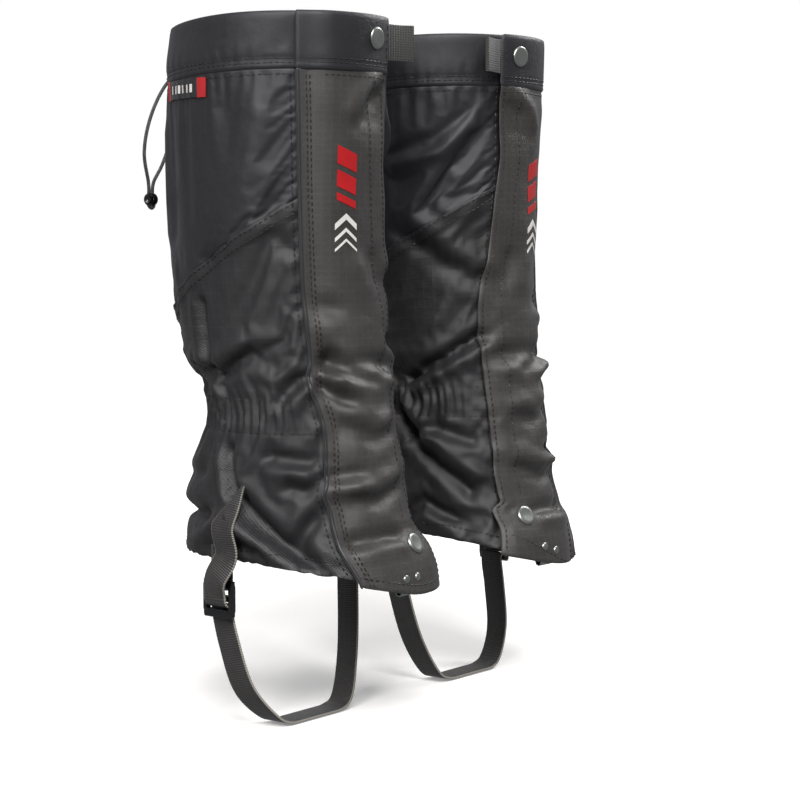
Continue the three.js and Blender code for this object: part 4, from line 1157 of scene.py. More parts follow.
class GAITERS_OT_stitching(bpy.types.Operator):
    """Sews the rows of stitches on the panels, the collars and the flaps"""
    bl_idname = "gaiters.stitching"
    bl_label = "Stitching"

    def rows_of(self, side):
        """Lines of stitches as (cloth, angles, heights), first on the sleeve and then on the flap."""
        hem_height = hem_of(side)
        sleeve, flap = MADE[side]["sleeve"], MADE[side]["flap"]
        collar, end = MADE[side]["collar"], MADE[side]["collar_end"]
        turn = lambda low, high: np.linspace(low, high, 260)
        round_sleeve = turn(36.5, 343)
        fixed, turning = [], []
        for drop in (1.8, 8.2):
            fixed.append((sleeve, round_sleeve, cloth_seam(round_sleeve) - drop))
        for height in (CHANNEL_HIGH, CHANNEL_LOW):
            z = np.full(260, float(height))
            fixed.append((sleeve, turn(float(flap_seam(height)) + 3,
            360 + float(underlap_edge(height)) - 2), z))
        around = turn(30, 334)
        fixed.append((sleeve, around, hem_height(around) + 9))
        up = np.linspace(112, COLLAR_SEAM - 3, 260)
        fixed += [(sleeve, 180 + arc(way, up, 180.0), up) for way in (-3.2, 3.2)]
        fixed.append((sleeve, flap_seam(up) + arc(5.0, up), up))
        fixed.append((sleeve, 360 + underlap_edge(up) - arc(4.0, up), up))
        fixed.append((sleeve, turn(38, 342), collar_seam_at(turn(38, 342)) - 4.0))
        fixed.append((collar, turn(26, 382), collar_seam_at(turn(26, 382)) + 3.4))
        fixed.append((collar, turn(26, 382), collar_seam_at(turn(26, 382)) + 6.2))
        full = np.linspace(99, COLLAR_SEAM - 4, 260)
        turning += [(flap, flap_seam(full) - arc(way, full), full) for way in (5.2, 7.6)]
        turning.append((flap, flap_edge(full) + arc(3.0, full), full))
        upper = np.linspace(142, COLLAR_SEAM - 6, 220)
        turning.append((flap, flap_edge(upper) + arc(17.0, upper), upper))
        low = np.linspace(-26, 24, 90)
        turning.append((flap, low, hem_height(low) + 1.5))
        turning.append((flap, low, np.full(90, COLLAR_SEAM - 4.5)))
        ends = np.linspace(-14.5, 32, 90)
        turning.append((end, ends, np.full(90, COLLAR_SEAM + 3.4)))
        turning.append((end, ends, np.full(90, COLLAR_SEAM + 6.2)))
        rise = np.linspace(COLLAR_SEAM + 4, TOP - 4, 30)
        turning.append((end, flap_edge(rise) + arc(2.5, rise), rise))
        return fixed, turning

    def execute(self, context):
        sizes = millimetres()
        for side in SIDES:
            for group, hinge, rows in zip(("sleeve", "flap"), (False, True), self.rows_of(side)):
                parts = []
                for cloth, angle, z in rows:
                    line, out = seam_line(cloth, angle, z)
                    parts += stitch_row(line, out, sizes["stitch"], sizes["stitch_gap"],
                        sizes["thread"])
                points, faces, uv = joined(parts)
                obj = build(f"{side}_{group}_stitches", side, points, faces, FINISH["thread"], uv)
                settled_piece(obj, side, ROOT, "flap_ripstop" if hinge else "smooth_nylon", hinge=hinge)
        return {"FINISHED"}


LABEL_ANGLE = 107.0


def patch_on(cloth, corners, lift, thickness, steps):
    """A raised patch on a cloth, from its four (angle, height) corners: lower left, lower right,
    upper right and upper left."""
    (a, b, c, d) = [np.array(p, float) for p in corners]
    s, t = np.meshgrid(np.linspace(0, 1, steps[0] + 1), np.linspace(0, 1, steps[1] + 1))
    s, t = s[..., None], t[..., None]
    spot = (a * (1 - s) + b * s) * (1 - t) + (d * (1 - s) + c * s) * t
    points, out = cloth.at(spot[..., 0], spot[..., 1], lift + thickness)
    verts, faces, border, _ = slab_mesh(points, thickness, out, rim=0.2)
    flat = np.stack([np.radians(spot[..., 0]) * LEG_RADIUS / 1000, spot[..., 1] / 1000], -1).reshape(-1,
    2)
    return verts, [tuple(f) for f in faces], np.concatenate([flat, flat, flat[border]])


class GAITERS_OT_badges(bpy.types.Operator):
    """Builds the side labels and the plain printed bars and chevrons on the flaps"""
    bl_idname = "gaiters.badges"
    bl_label = "Labels and prints"

    def execute(self, context):
        for side in SIDES:
            sleeve, flap = MADE[side]["sleeve"], MADE[side]["flap"]
            half = float(arc(25, 438.0, LABEL_ANGLE))
            low, high = 428.6, 440.6

            def band(first, last, bottom=low, top=high, lift=0.35, thick=0.8, count=10):
                a, b = LABEL_ANGLE + first * half, LABEL_ANGLE + last * half
                return patch_on(sleeve, [(a, bottom), (b, bottom), (b, top), (a, top)], lift, thick,
                    (count, 4))

            whole = band(-1, 1, count=26)
            obj = build(f"{side}_side_label_band", side, whole[0], whole[1], FINISH["label"], whole[2])
            settled_piece(obj, side, ROOT, "woven_label", "side_label")
            ends = joined([band(-1.01, -0.72, low - 0.2, high + 0.2, 0.5, 0.85),
                band(0.84, 1.01, low - 0.2, high + 0.2, 0.5, 0.85)])
            obj = build(f"{side}_label_ends", side, ends[0], ends[1], FINISH["label_red"], ends[2])
            settled_piece(obj, side, ROOT, "woven_label")
            marks = []
            for k in range(6):
                a = -0.5 + 0.2 * k
                marks.append(band(a, a + 0.07, low + 3.4, high - 3.4, 1.0, 0.35, 2))
            marks = joined(marks)
            obj = build(f"{side}_label_marks", side, marks[0], marks[1], FINISH["label_light"],
                marks[2])
            settled_piece(obj, side, ROOT, "woven_label")

            def spot(across, z):
                return 11.5 + float(arc(across, z)), z

            bars = []
            for bottom, top in ((381, 393), (366, 377), (357, 362)):
                bars.append(patch_on(flap, [spot(-7, bottom - 3), spot(7, bottom + 3), spot(7, top + 3),
                    spot(-7, top - 3)],
                                     0.0, 0.4, (10, 8)))
            bars = joined(bars)
            obj = build(f"{side}_flap_print_bars", side, bars[0], bars[1], FINISH["print_red"], bars[2])
            settled_piece(obj, side, None, "flap_ripstop", hinge=True)
            chevrons = []
            for foot, thick in ((340, 4), (332, 2.5), (325.5, 1.8)):
                for way in (-1, 1):
                    edge = [spot(0, foot + 7), spot(way * 8, foot), spot(way * 8, foot + thick),
                        spot(0, foot + 7 + thick)]
                    corners = edge if way > 0 else [edge[1], edge[0], edge[3], edge[2]]
                    chevrons.append(patch_on(flap, corners, 0.0, 0.35, (6, 3)))
            chevrons = joined(chevrons)
            obj = build(f"{side}_flap_print_chevrons", side, chevrons[0], chevrons[1],
                FINISH["print_white"], chevrons[2])
            settled_piece(obj, side, None, "flap_ripstop", hinge=True)
        return {"FINISHED"}


def band_piece(name, side, centre, out, left, right, thickness, material):
    """A flat band along a line, in the finish given."""
    along = np.gradient(centre, axis=0)
    along /= np.linalg.norm(along, axis=1, keepdims=True)
    across = np.cross(along, out)
    across /= np.linalg.norm(across, axis=1, keepdims=True)
    upright = np.cross(across, along)
    points, faces, uv = strip_mesh(centre, across, upright, left, right, thickness)
    return build(name, side, points, faces, material, uv, smooth_angle=45)


def stops_line(stops, count):
    """Even centres and outward directions through (point, outward) stops."""
    line = curve_through([list(p) + list(w) for p, w in stops], count)
    out = line[:, 3:]
    return line[:, :3], out / np.linalg.norm(out, axis=1, keepdims=True)


BUCKLE = (66.4, -7.1)
INNER_FACE = -62.7


class GAITERS_OT_straps(bpy.types.Operator):
    """Builds the instep straps, their tails, the buckle loops, the anchors and the pull tabs"""
    bl_idname = "gaiters.straps"
    bl_label = "Straps and tabs"

    def execute(self, context):
        x, y = BUCKLE
        arch = y - 20
        width = 10.0
        for side in SIDES:
            stops = [
                ((x - 0.6, y, 86.5), (0.4, 0, 1)), ((x - 3.6, y, 84.4), (1, 0, 0.5)),
                ((x - 4.4, y, 79), (1, 0, 0)),
                ((x - 6, y - 4, 60), (1, 0, 0)), ((x - 13, y - 12, 27), (1, 0, 0)),
                ((35, arch + 1, 6), (0.8, 0, -0.6)),
                ((26, arch, 2.6), (0.13, 0, -1)), ((21, arch, 2), (0.1, 0, -1)),
                ((16, arch, 2), (0, 0, -1)),
                ((-16, arch, 2), (0, 0, -1)), ((-21, arch, 2), (-0.1, 0, -1)),
                ((-26, arch, 2.6), (-0.13, 0, -1)),
                ((-35, arch + 1, 6), (-0.8, 0, -0.6)), ((INNER_FACE + 13, y - 12, 33), (-1, 0, 0)),
                ((INNER_FACE + 2, y - 3, 87), (-1, 0, 0)), ((INNER_FACE, y, 114), (-1, 0, 0)),
                ((INNER_FACE, y, 137), (-1, 0, 0)),
            ]
            centre, out = stops_line(stops, 240)
            wide = np.full(len(centre), width)
            obj = band_piece(f"{side}_instep_strap_band", side, centre, out, -wide, wide, 1.8,
                FINISH["strap"])
            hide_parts(f"{side}_instep_strap")
            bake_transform(obj)

            sleeve = MADE[side]["sleeve"]

            def beside(lean, height, lift):
                """A stop on the cloth that the tail lies against."""
                angle = 100 - lean
                point = sleeve.at(angle, height, lift)[0]
                plain = face_point(angle, height)
                return (max(point[0], plain[0] + lift), plain[1], height), (1, 0, 0)

            stops = [
                ((x - 1.2, y, 87), (0.2, 0, -1)), ((x + 1.2, y, 87.2), (0.9, 0, -0.6)),
                ((x + 2.9, y, 89.6), (1, 0, 0)),
                ((x + 3.2, y, 94), (1, 0, 0)), ((x + 4.6, y - 1, 99), (1, 0, -0.1)),
                ((x + 6.4, y - 4, 106), (1, 0, 0.1)),
                beside(9, 122, 6.5), beside(13, 140, 5.5), beside(15.5, 156, 4.5), beside(17, 171, 4.0),
            ]
            centre, out = stops_line(stops, 110)
            run = np.linspace(0, 1, 110)
            cut = np.clip((run - 0.68) / 0.32, 0, 1)
            obj = band_piece(f"{side}_strap_tail_band", side, centre, out, np.full(110, -width),
                             width - 18.6 * cut, 1.8, FINISH["strap"])
            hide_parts(f"{side}_strap_tail")
            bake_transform(obj)

            stops = [
                ((x - 3.5, y, 131), (-1, 0, 0)), ((x - 3.4, y, 114), (-1, 0, 0)),
                ((x - 3.3, y, 101.5), (-1, 0, 0)),
                ((x - 2.3, y, 99.1), (-0.7, 0, -0.7)), ((x, y, 98.1), (0, 0, -1)),
                ((x + 2.3, y, 99.1), (0.7, 0, -0.7)),
                ((x + 3.3, y, 101.5), (1, 0, 0)), ((x + 2.9, y, 105), (1, 0, 0.3)),
                ((x + 0.2, y, 109), (1, 0, 0.4)),
                ((x - 1.9, y, 114), (1, 0, 0.2)), ((x - 2.3, y, 127), (1, 0, 0)),
            ]
            centre, out = stops_line(stops, 70)
            wide = np.full(len(centre), 9.0)
            obj = band_piece(f"{side}_buckle_loop_band", side, centre, out, -wide, wide, 1.15,
                FINISH["webbing"])
            settled_piece(obj, side, ROOT, "ribbed_webbing", "buckle_loop")

            face = INNER_FACE - 2.5
            stops = [((face, y, 118), (-1, 0, 0)), ((face - 0.3, y, 123), (-1, 0, 0)),
                ((face - 0.3, y, 133), (-1, 0, 0)),
                     ((face, y, 138), (-1, 0, 0))]
            centre, out = stops_line(stops, 16)
            wide = np.full(16, 14.0)
            obj = band_piece(f"{side}_strap_anchor_patch", side, centre, out, -wide, wide, 1.6,
                FINISH["webbing"])
            settled_piece(obj, side, ROOT, "ribbed_webbing", "strap_anchor")
            parts = []
            box = [(-11.5, 120), (11.5, 120), (11.5, 136), (-11.5, 136), (-11.5, 120)]
            for (a, b), (c, d) in list(zip(box[:-1], box[1:])) + [(box[0], box[2]), (box[1], box[3])]:
                line = np.array([(face - 1.95, y + a + (c - a) * t,
                    b + (d - b) * t) for t in np.linspace(0, 1, 20)])
                parts += stitch_row(line, np.tile((-1.0, 0, 0), (20, 1)), 2.6, 0.9, 0.7)
            for height in (121.5, 124.5):
                line = np.array([(x - 1.1, y + t, height) for t in np.linspace(-8, 8, 12)])
                parts += stitch_row(line, np.tile((1.0, 0, 0), (12, 1)), 2.4, 0.8, 0.7)
            points, faces, uv = joined(parts)
            obj = build(f"{side}_strap_stitches", side, points, faces, FINISH["thread"], uv)
            settled_piece(obj, side, ROOT, "ribbed_webbing")

            height = 466.6
            edge = float(flap_edge(height))
            normal = face_out(edge, height)
            flare = math.radians(28)
            way_out = np.array([normal[1], -normal[0], 0]) * math.cos(flare) + normal * math.sin(flare)
            normal = np.cross((0, 0, 1), way_out) * -1
            root = sleeve_point(edge, height, 4.6)
            stops = [(root - way_out * 1.5, normal), (root + way_out * 6, normal),
                (root + way_out * 14 - normal * 0.6, normal),
                     (root + way_out * 23.6 - normal * 2.2, normal + way_out * 0.2)]
            centre, out = stops_line(stops, 40)
            thick = 2.4
            run = np.linspace(0, 1, 40)
            wide = 12.5 - 0.35 * np.sin(run * math.pi)
            obj = band_piece(f"{side}_pull_tab_loop", side, centre, out, -wide, wide, thick,
                FINISH["webbing"])
            settled_piece(obj, side, f"{side}_flap", "ribbed_webbing", "pull_tab")
        return {"FINISHED"}


# ---- Hardware, modelled at the origin in millimetres and then set in place ----

def deselect():
    if bpy.context.mode != "OBJECT":
        bpy.ops.object.mode_set(mode="OBJECT")
    bpy.ops.object.select_all(action="DESELECT")


def started(name):
    """The primitive that was just added, under its own name."""
    obj = bpy.context.object
    obj.name = obj.data.name = name
    return obj


def finished(obj, modifiers=(), angle=35):
    """Applies modifiers, given as (kind, settings), and shades by angle."""
    bpy.ops.object.mode_set(mode="OBJECT")
    for kind, settings in modifiers:
        modifier = obj.modifiers.new(kind.title(), kind)
        for name, value in settings.items():
            setattr(modifier, name, value)
        bpy.ops.object.modifier_apply(modifier=modifier.name)
    bpy.ops.object.shade_smooth_by_angle(angle=math.radians(angle))
    return obj


def pick(obj, test, kind="VERT"):
    """Selects the points or faces that pass a test on their place, in edit mode."""
    bpy.ops.mesh.select_mode(type=kind)
    bpy.ops.mesh.select_all(action="DESELECT")
    mesh = bmesh.from_edit_mesh(obj.data)
    found = 0
    for item in (mesh.verts if kind == "VERT" else mesh.faces):
        place = item.co if kind == "VERT" else item.calc_center_median()
        if test(place):
            item.select_set(True)
            found += 1
    mesh.select_flush_mode()
    bmesh.update_edit_mesh(obj.data)
    if not found:
        raise RuntimeError(f"{obj.name}: nothing was selected")


def turned_part(name, profile, steps=36):
    """Draws half a section, point by point, and spins it round Z."""
    deselect()
    bpy.ops.mesh.primitive_plane_add(size=1)
    obj = started(name)
    bpy.ops.object.mode_set(mode="EDIT")
    bpy.ops.mesh.select_all(action="SELECT")
    bpy.ops.mesh.merge(type="CENTER")
    bpy.ops.mesh.select_mode(type="VERT")
    bpy.ops.mesh.select_all(action="SELECT")
    bpy.ops.transform.translate(value=(profile[0][0], 0, profile[0][1]))
    for (a, b), (c, d) in zip(profile[:-1], profile[1:]):
        bpy.ops.mesh.extrude_region_move(TRANSFORM_OT_translate={"value": (c - a, 0, d - b)})
    bpy.ops.mesh.select_all(action="SELECT")
    bpy.ops.mesh.spin(steps=steps, angle=2 * math.pi, center=(0, 0, 0), axis=(0, 0, 1))
    bpy.ops.mesh.select_all(action="SELECT")
    bpy.ops.mesh.remove_doubles(threshold=0.002)
    bpy.ops.mesh.normals_make_consistent(inside=False)
    return finished(obj)


def place_copy(source, name, side, matrix, material):
    """A copy of a modelled part with its own mesh, set in place on one leg."""
    mesh = source.data.copy()
    mesh.name = name
    mesh.transform(seat(side) @ matrix)
    if SIDES[side] < 0:
        mesh.flip_normals()
    mesh.materials.clear()
    mesh.materials.append(material)
    obj = bpy.data.objects.new(name, mesh)
    bpy.context.scene.collection.objects.link(obj)
    return obj


def axes_matrix(origin, across, up, out):
    matrix = Matrix.Identity(4)
    for column, axis in enumerate((across, up, out, origin)):
        for row in range(3):
            matrix[row][column] = float(axis[row])
    return matrix


def on_cloth(point, out, up=(0, 0, 1)):
    """A matrix whose Z is a cloth's outward direction."""
    out = np.asarray(out, float) / np.linalg.norm(out)
    across = np.cross(up, out)
    across /= np.linalg.norm(across)
    return axes_matrix(point, across, np.cross(out, across), out)


def discard(*objects):
    for obj in objects:
        mesh = obj.data
        bpy.data.objects.remove(obj)
        bpy.data.meshes.remove(mesh)


class GAITERS_OT_snaps(bpy.types.Operator):
    """Builds the snap caps and studs, the rivets and the cord eyelets"""
    bl_idname = "gaiters.snaps"
    bl_label = "Snaps, rivets and eyelets"

    def execute(self, context):
        cap = turned_part("snap_cap", [
            (0, 1.55), (2.4, 1.6), (4.4, 1.72), (5.6, 1.8), (6.5, 1.66), (7.15, 1.25), (7.5, 0.6),
            (7.3, 0.1), (7.0, 0), (0, 0)], 48)
        stud = turned_part("snap_stud", [
            (0, 1.1), (1.2, 1.1), (1.5, 1.7), (2.3, 1.85), (2.9, 1.6), (2.8, 0.7), (3.2, 0.5),
            (4.3, 0.4), (4.5, 0.0), (0, 0)], 32)
        rivet = turned_part("rivet", [(0, 1.4), (1.1, 1.35), (2.1, 1.1), (2.8, 0.6), (3.0, 0.15),
            (2.9, 0), (0, 0)], 28)
        eyelet = turned_part("eyelet", [
            (3.35, 0), (3.35, 0.9), (3.7, 1.25), (4.3, 1.35), (4.95, 1.1), (5.35, 0.4), (5.3, 0),
            (3.35, 0)], 36)
        for side in SIDES:
            flap, end, collar = (MADE[side][name] for name in ("flap", "collar_end", "collar"))
            underlap = MADE[side]["underlap"]
            angle = -16 + float(arc(15, COLLAR_SEAM))
            point, out = end.at(angle, COLLAR_SNAP_HEIGHT, -0.15)
            obj = place_copy(cap, f"{side}_collar_snap_cap_disc", side, on_cloth(point, out),
                FINISH["nickel"])
            settled_piece(obj, side, f"{side}_flap", "nickel_snap", "collar_snap_cap")
            point, out = collar.at(360 + angle, COLLAR_SNAP_HEIGHT, 0.0)
            obj = place_copy(stud, f"{side}_collar_snap_stud_disc", side, on_cloth(point, out),
                FINISH["nickel"])
            settled_piece(obj, side, ROOT, "nickel_snap", "collar_snap_stud")
            angle = -22.7 + float(arc(15, HEM_SNAP_HEIGHT))
            point, out = flap.at(angle - float(arc(2.5, HEM_SNAP_HEIGHT)), HEM_SNAP_HEIGHT, -0.15)
            obj = place_copy(cap, f"{side}_hem_snap_cap_disc", side, on_cloth(point, out),
                FINISH["nickel"])
            settled_piece(obj, side, f"{side}_flap", "nickel_snap", "hem_snap_cap")
            point, out = underlap.at(angle, HEM_SNAP_HEIGHT, 0.0)
            obj = place_copy(stud, f"{side}_hem_snap_stud_disc", side, on_cloth(point, out),
                FINISH["nickel"])
            settled_piece(obj, side, ROOT, "nickel_snap", "hem_snap_stud")
            for number, way in ((1, -6.0), (2, 6.0)):
                point, out = flap.at(-5 + float(arc(way, RIVET_HEIGHT)), RIVET_HEIGHT, -0.2)
                obj = place_copy(rivet, f"{side}_hook_rivet_{number}_head", side, on_cloth(point, out),
                    FINISH["nickel"])
                settled_piece(obj, side, f"{side}_flap", "nickel_snap", f"hook_rivet_{number}")
            point, out = collar.at(170, EYELET_HEIGHT, -0.05)
            obj = place_copy(eyelet, f"{side}_cord_eyelet_ring", side, on_cloth(point, out),
                FINISH["nickel"])
            settled_piece(obj, side, ROOT, "nickel_snap", "cord_eyelet")
        discard(cap, stud, rivet, eyelet)
        return {"FINISHED"}


class GAITERS_OT_lace_hooks(bpy.types.Operator):
    """Builds the lace hooks behind the flaps' lower edges"""
    bl_idname = "gaiters.lace_hooks"
    bl_label = "Lace hooks"

    def execute(self, context):
        deselect()
        bpy.ops.mesh.primitive_plane_add(size=1)
        hook = started("lace_hook")
        bpy.ops.object.mode_set(mode="EDIT")
        bpy.ops.mesh.select_mode(type="VERT")
        bpy.ops.mesh.select_all(action="SELECT")
        bpy.ops.mesh.merge(type="CENTER")
        bpy.ops.mesh.select_all(action="SELECT")
        section_line = [(0.0, 3.0), (0.0, -3.0), (0.0, -8.6), (-0.7, -10.6), (-2.6, -11.4),
            (-4.5, -10.6), (-5.2, -8.6), (-5.2, -6.0)]
        bpy.ops.transform.translate(value=(-10, section_line[0][1], section_line[0][0]))
        for (a, b), (c, d) in zip(section_line[:-1], section_line[1:]):
            bpy.ops.mesh.extrude_region_move(TRANSFORM_OT_translate={"value": (0, d - b, c - a)})
        bpy.ops.mesh.select_all(action="SELECT")
        for _ in range(5):
            bpy.ops.mesh.extrude_region_move(TRANSFORM_OT_translate={"value": (4, 0, 0)})
        bpy.ops.mesh.select_all(action="SELECT")
        bpy.ops.mesh.normals_make_consistent(inside=False)
        pick(hook, lambda p: p.y < -7)
        bpy.ops.transform.resize(value=(0.62, 1, 1), center_override=(0, 0, 0))
        finished(hook, [("SOLIDIFY", {"thickness": 1.0, "offset": 0}),
        ("BEVEL", {"width": 0.3, "segments": 2, "limit_method": "ANGLE"})])
        for side in SIDES:
            out = face_out(-5.0, 106.0)
            across = np.array([-out[1], out[0], 0.0])
            point = sleeve_point(-5.0, 106.0, 1.0)
            matrix = axes_matrix(point, across, (0, 0, 1), out)
            obj = place_copy(hook, f"{side}_lace_hook_plate", side, matrix, FINISH["steel"])
            settled_piece(obj, side, f"{side}_flap", "steel_hook", "lace_hook")
        discard(hook)
        return {"FINISHED"}


class GAITERS_OT_buckles(bpy.types.Operator):
    """Builds the ladder-lock buckles"""
    bl_idname = "gaiters.buckles"
    bl_label = "Buckles"

    def execute(self, context):
        deselect()
        bpy.ops.mesh.primitive_plane_add(size=1)
        buckle = started("buckle")
        bpy.ops.object.mode_set(mode="EDIT")
        bpy.ops.mesh.select_all(action="SELECT")
        bpy.ops.transform.resize(value=(27, 24, 1))
        cuts = [((s, 0, 0), (1, 0, 0)) for s in (-10.5, -7, -3.5, 0, 3.5, 7, 10.5)]
        cuts += [((0, s, 0), (0, 1, 0)) for s in (-10, -8, -2, 0, 2, 8, 10)]
        for place, way in cuts:
            bpy.ops.mesh.select_all(action="SELECT")
            bpy.ops.mesh.bisect(plane_co=place, plane_no=way)
        pick(buckle, lambda p: abs(p.x) < 10.4 and 2 < abs(p.y) < 8, "FACE")
        bpy.ops.mesh.delete(type="FACE")
        bpy.ops.mesh.select_mode(type="FACE")
        bpy.ops.mesh.select_all(action="SELECT")
        bpy.ops.transform.translate(value=(0, 0, -1.6))
        bpy.ops.mesh.extrude_region_move(TRANSFORM_OT_translate={"value": (0, 0, 3.2)})
        bpy.ops.mesh.select_all(action="SELECT")
        bpy.ops.mesh.normals_make_consistent(inside=False)
        # The middle bar stands back, the rails bow outwards and the lower bar has a thumb lip
        pick(buckle, lambda p: abs(p.x) < 10.4 and abs(p.y) < 2.1)
        bpy.ops.transform.translate(value=(0, 0, -0.5))
        pick(buckle, lambda p: abs(p.x) > 10.4 and abs(p.y) < 8.1)
        bpy.ops.transform.resize(value=(1, 1, 1.35), center_override=(0, 0, 0))
        pick(buckle, lambda p: p.y < -11.9 and p.z < 1.7 and abs(p.x) < 13, "FACE")
        bpy.ops.mesh.extrude_region_move(TRANSFORM_OT_translate={"value": (0, -1.6, 1.2)})
        bpy.ops.transform.resize(value=(0.9, 1, 0.7))
        pick(buckle, lambda p: -10.1 < p.y < -8 and p.z > 1.5 and abs(p.x) < 9, "FACE")
        bpy.ops.mesh.inset(thickness=0.35, depth=0.0, use_individual=True)
        bpy.ops.mesh.extrude_region_move(TRANSFORM_OT_translate={"value": (0, 0, 0.7)})
        finished(buckle, [("BEVEL", {"width": 0.55, "segments": 3, "limit_method": "ANGLE",
        "angle_limit": math.radians(38)})], 50)
        x, y = BUCKLE
        for side in SIDES:
            matrix = axes_matrix((x, y, 91.5), (0, 1, 0), (0, 0, 1), (1, 0, 0))
            obj = place_copy(buckle, f"{side}_buckle_frame", side, matrix, FINISH["plastic"])
            settled_piece(obj, side, f"{side}_buckle_body", "glossy_buckle", "buckle")
        discard(buckle)
        return {"FINISHED"}


# The drawcord's way, from the eyelet down to its lock and back
STRAND_HALF = 1.5
LOCK_TOP = np.array([46.0, 79.0, 370.0])
STRAND_WAY = np.array([-0.5, -0.86, 0.0]) / math.hypot(0.5, 0.86)
BUTTON_WAY = np.array([-STRAND_WAY[1], STRAND_WAY[0], 0.0])
LOCK_MIDDLE = LOCK_TOP - [0, 0, 8]


def cord_route():
    across, _, out = face_axes(170.0, 455.0)
    foot = sleeve_point(170.0, 455.0, 0.9)
    leave = lambda way, reach: foot + across * way * STRAND_HALF + out * reach
    strand = lambda drop, way: LOCK_TOP + STRAND_WAY * way * STRAND_HALF - [0, 0, drop]
    return [
        leave(1, 0), leave(1, 3), (22, 87, 445), (40, 85, 420), (50, 81, 394), strand(-2, -1),
            strand(12, -1),
        strand(16, 0), strand(12, 1), strand(-2, 1), (38, 76, 386), (20, 83, 412), (11, 86, 441),
            leave(-1, 3), leave(-1, 0),
    ]


class GAITERS_OT_drawcords(bpy.types.Operator):
    """Builds the collars' elastic drawcords and their ball locks"""
    bl_idname = "gaiters.drawcords"
    bl_label = "Drawcords and locks"

    def lock(self):
        """The ball, with a slot for both strands and a bore for its button."""
        cutters = []
        deselect()
        bpy.ops.mesh.primitive_cube_add(size=1)
        slot = started("strand_slot")
        bpy.ops.object.mode_set(mode="EDIT")
        bpy.ops.mesh.select_all(action="SELECT")
        bpy.ops.transform.resize(value=(6.7, 3.5, 20))
        finished(slot, [("BEVEL", {"width": 1.5, "segments": 5})])
        cutters.append(slot)
        deselect()
        bpy.ops.mesh.primitive_cylinder_add(vertices=32, radius=3.0, depth=10)
        bore = started("button_bore")
        bpy.ops.object.mode_set(mode="EDIT")
        bpy.ops.mesh.select_all(action="SELECT")
        bpy.ops.transform.translate(value=(0, 0, 2.55 + 5))
        bpy.ops.object.mode_set(mode="OBJECT")
        bore.data.transform(Matrix.Rotation(math.radians(-90), 4, "X"))
        cutters.append(bore)
        deselect()
        bpy.ops.mesh.primitive_uv_sphere_add(segments=40, ring_count=24, radius=5)
        ball = started("lock_ball")
        cuts = [("BOOLEAN", {"operation": "DIFFERENCE", "solver": "EXACT",
            "object": cutter}) for cutter in cutters]
        finished(ball, cuts + [("BEVEL", {"width": 0.25, "segments": 2, "limit_method": "ANGLE",
        "angle_limit": math.radians(40)})], 50)
        discard(*cutters)
        return ball

    def execute(self, context):
        ball = self.lock()
        button = turned_part("lock_button", [(0, 3.0), (1.3, 3.05), (1.7, 3.35), (2.3, 3.4), (2.65,
            3.0), (2.7, 0.3), (2.5, 0), (0, 0)], 32)
        for side in SIDES:
            matrix = axes_matrix(LOCK_MIDDLE, STRAND_WAY, BUTTON_WAY, (0, 0, 1))
            body = place_copy(ball, f"{side}_cord_lock_ball", side, matrix, FINISH["plastic"])
            settled_piece(body, side, f"{side}_cord_lock", "glossy_buckle", "cord_lock_body")
            foot = LOCK_MIDDLE + BUTTON_WAY * (3.5 / 2 + 0.8 + 1.6 + 0.3)
            push = place_copy(button, f"{side}_cord_lock_push", side, on_cloth(foot, BUTTON_WAY),
                FINISH["plastic"])
            settled_piece(push, side, f"{side}_lock_button", "glossy_buckle", "cord_lock_button")

            route = curve_through(cord_route(), 40)
            curve = bpy.data.curves.new(f"{side}_drawcord_loop", "CURVE")
            curve.dimensions = "3D"
            spline = curve.splines.new("BEZIER")
            spline.bezier_points.add(len(route) - 1)
            for knot, point in zip(spline.bezier_points, route):
                knot.co = seat(side) @ Vector(point)
                knot.handle_left_type = knot.handle_right_type = "AUTO"
            spline.resolution_u = 6
            curve.bevel_depth = millimetres()["cord"] / 2000
            curve.bevel_resolution = 4
            curve.use_fill_caps = True
            curve.materials.append(FINISH["cord"])
            cord = bpy.data.objects.new(f"{side}_drawcord_loop", curve)
            context.scene.collection.objects.link(cord)
            settled_piece(cord, side, ROOT, "black_elastic", "drawcord")
            millimetres()["cord"] / 1000
        discard(ball, button)
        return {"FINISHED"}


# The white dome round the stage, in metres, and the faint glow that levels the floor with it
DOME_RADIUS, FLOOR_GLOW = 30, 0.22


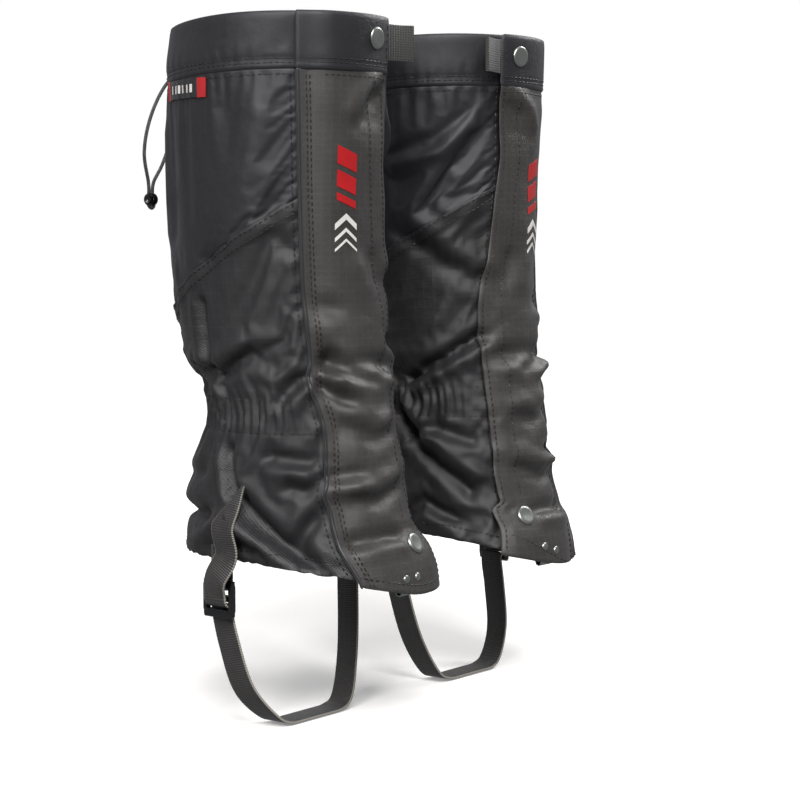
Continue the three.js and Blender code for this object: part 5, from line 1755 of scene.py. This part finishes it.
class GAITERS_OT_studio(bpy.types.Operator):
    """Sets the camera, the pale floor, the white backdrop dome and the lights"""
    bl_idname = "gaiters.studio"
    bl_label = "Studio"

    def execute(self, context):
        scene = context.scene
        camera = bpy.data.cameras.new("studio_camera")
        camera.lens = 85.2
        camera.sensor_width = 36
        view = bpy.data.objects.new("studio_camera", camera)
        view.location = (-1.049, -0.918, 0.330)
        view.rotation_euler = (math.radians(90 - 4.68), 0, math.radians(-50))
        scene.collection.objects.link(view)
        scene.camera = view
        deselect()
        bpy.ops.mesh.primitive_plane_add(size=1)
        floor = started("studio_floor")
        bpy.ops.object.mode_set(mode="EDIT")
        bpy.ops.mesh.select_all(action="SELECT")
        bpy.ops.transform.resize(value=(90, 90, 1))
        bpy.ops.transform.translate(value=(0, 0, -0.0006))
        bpy.ops.object.mode_set(mode="OBJECT")
        floor.data.materials.append(grained("Matt paper backdrop", "#eceae8", "#f2f0ee", 60.0, 0.9,
        0.03, 0.0))
        bpy.ops.mesh.primitive_uv_sphere_add(segments=48, ring_count=24, radius=DOME_RADIUS)
        dome = started("studio_dome")
        paper = floor.data.materials[0].node_tree.nodes["Principled BSDF"]
        paper.inputs["Emission Color"].default_value = (1, 1, 1, 1)
        paper.inputs["Emission Strength"].default_value = FLOOR_GLOW
        glow, tree, shader = new_material("White backdrop light")
        shader.inputs["Base Color"].default_value = (0, 0, 0, 1)
        shader.inputs["Emission Color"].default_value = linear("#fdfdfd")
        shader.inputs["Emission Strength"].default_value = 1.0
        dome.data.materials.append(glow)
        # Seen directly, but without bounce light on the gaiters, which would wash out their folds
        for backdrop in (dome, floor):
            backdrop.visible_diffuse = backdrop.visible_glossy = False
        dome.visible_shadow = False
        world = bpy.data.worlds.new("soft_room")
        world.use_nodes = True
        world.node_tree.nodes["Background"].inputs[0].default_value = linear("#f6f7f9")
        world.node_tree.nodes["Background"].inputs[1].default_value = 0.34
        scene.world = world
        scene.view_settings.view_transform = "Standard"
        sun = bpy.data.lights.new("room_light", "SUN")
        sun.energy = 3.3
        sun.angle = math.radians(26)
        lamps = [(sun, (-1.35, -1.55, 2.4))]
        for name, place, size, power in [("key", (-1.9, -0.6, 1.3), 0.6, 26),
        ("edge", (1.2, -0.3, 1.3), 0.6, 14)]:
            lamp = bpy.data.lights.new(f"{name}_light", "AREA")
            lamp.size = size
            lamp.energy = power
            lamps.append((lamp, place))
        for lamp, place in lamps:
            obj = bpy.data.objects.new(lamp.name, lamp)
            obj.location = place
            obj.rotation_euler = (Vector((0, 0, 0.27)) - obj.location).to_track_quat("-Z",
                "Y").to_euler()
            scene.collection.objects.link(obj)
        return {"FINISHED"}


OPERATORS = (
    GAITERS_OT_studio, GAITERS_OT_drawcords, GAITERS_OT_sleeves, GAITERS_OT_collars, GAITERS_OT_flaps,
    GAITERS_OT_stitching, GAITERS_OT_badges, GAITERS_OT_straps, GAITERS_OT_snaps, GAITERS_OT_lace_hooks,
    GAITERS_OT_buckles,
)


class GAITERS_PT_panel(bpy.types.Panel):
    """Lists the steps and the settings"""
    bl_idname = "GAITERS_PT_panel"
    bl_label = "Gaiters"
    bl_space_type = "VIEW_3D"
    bl_region_type = "UI"
    bl_category = "Gaiters"

    def draw(self, context):
        for settings in (context.scene.gaiter_sizes, context.scene.gaiter_colours):
            for name in type(settings).__annotations__:
                self.layout.prop(settings, name)
        for step in OPERATORS:
            self.layout.operator(step.bl_idname)


CLASSES = (GaiterSizes, GaiterColours, *OPERATORS, GAITERS_PT_panel)


def register():
    for each in CLASSES:
        bpy.utils.register_class(each)
    bpy.types.Scene.gaiter_sizes = bpy.props.PointerProperty(type=GaiterSizes)
    bpy.types.Scene.gaiter_colours = bpy.props.PointerProperty(type=GaiterColours)


def unregister():
    del bpy.types.Scene.gaiter_sizes
    del bpy.types.Scene.gaiter_colours
    for each in reversed(CLASSES):
        bpy.utils.unregister_class(each)


def main():
    register()
    FINISH.update(make_materials())
    for step in OPERATORS:
        group, name = step.bl_idname.split(".")
        getattr(getattr(bpy.ops, group), name)()


if __name__ == "__main__":
    main()
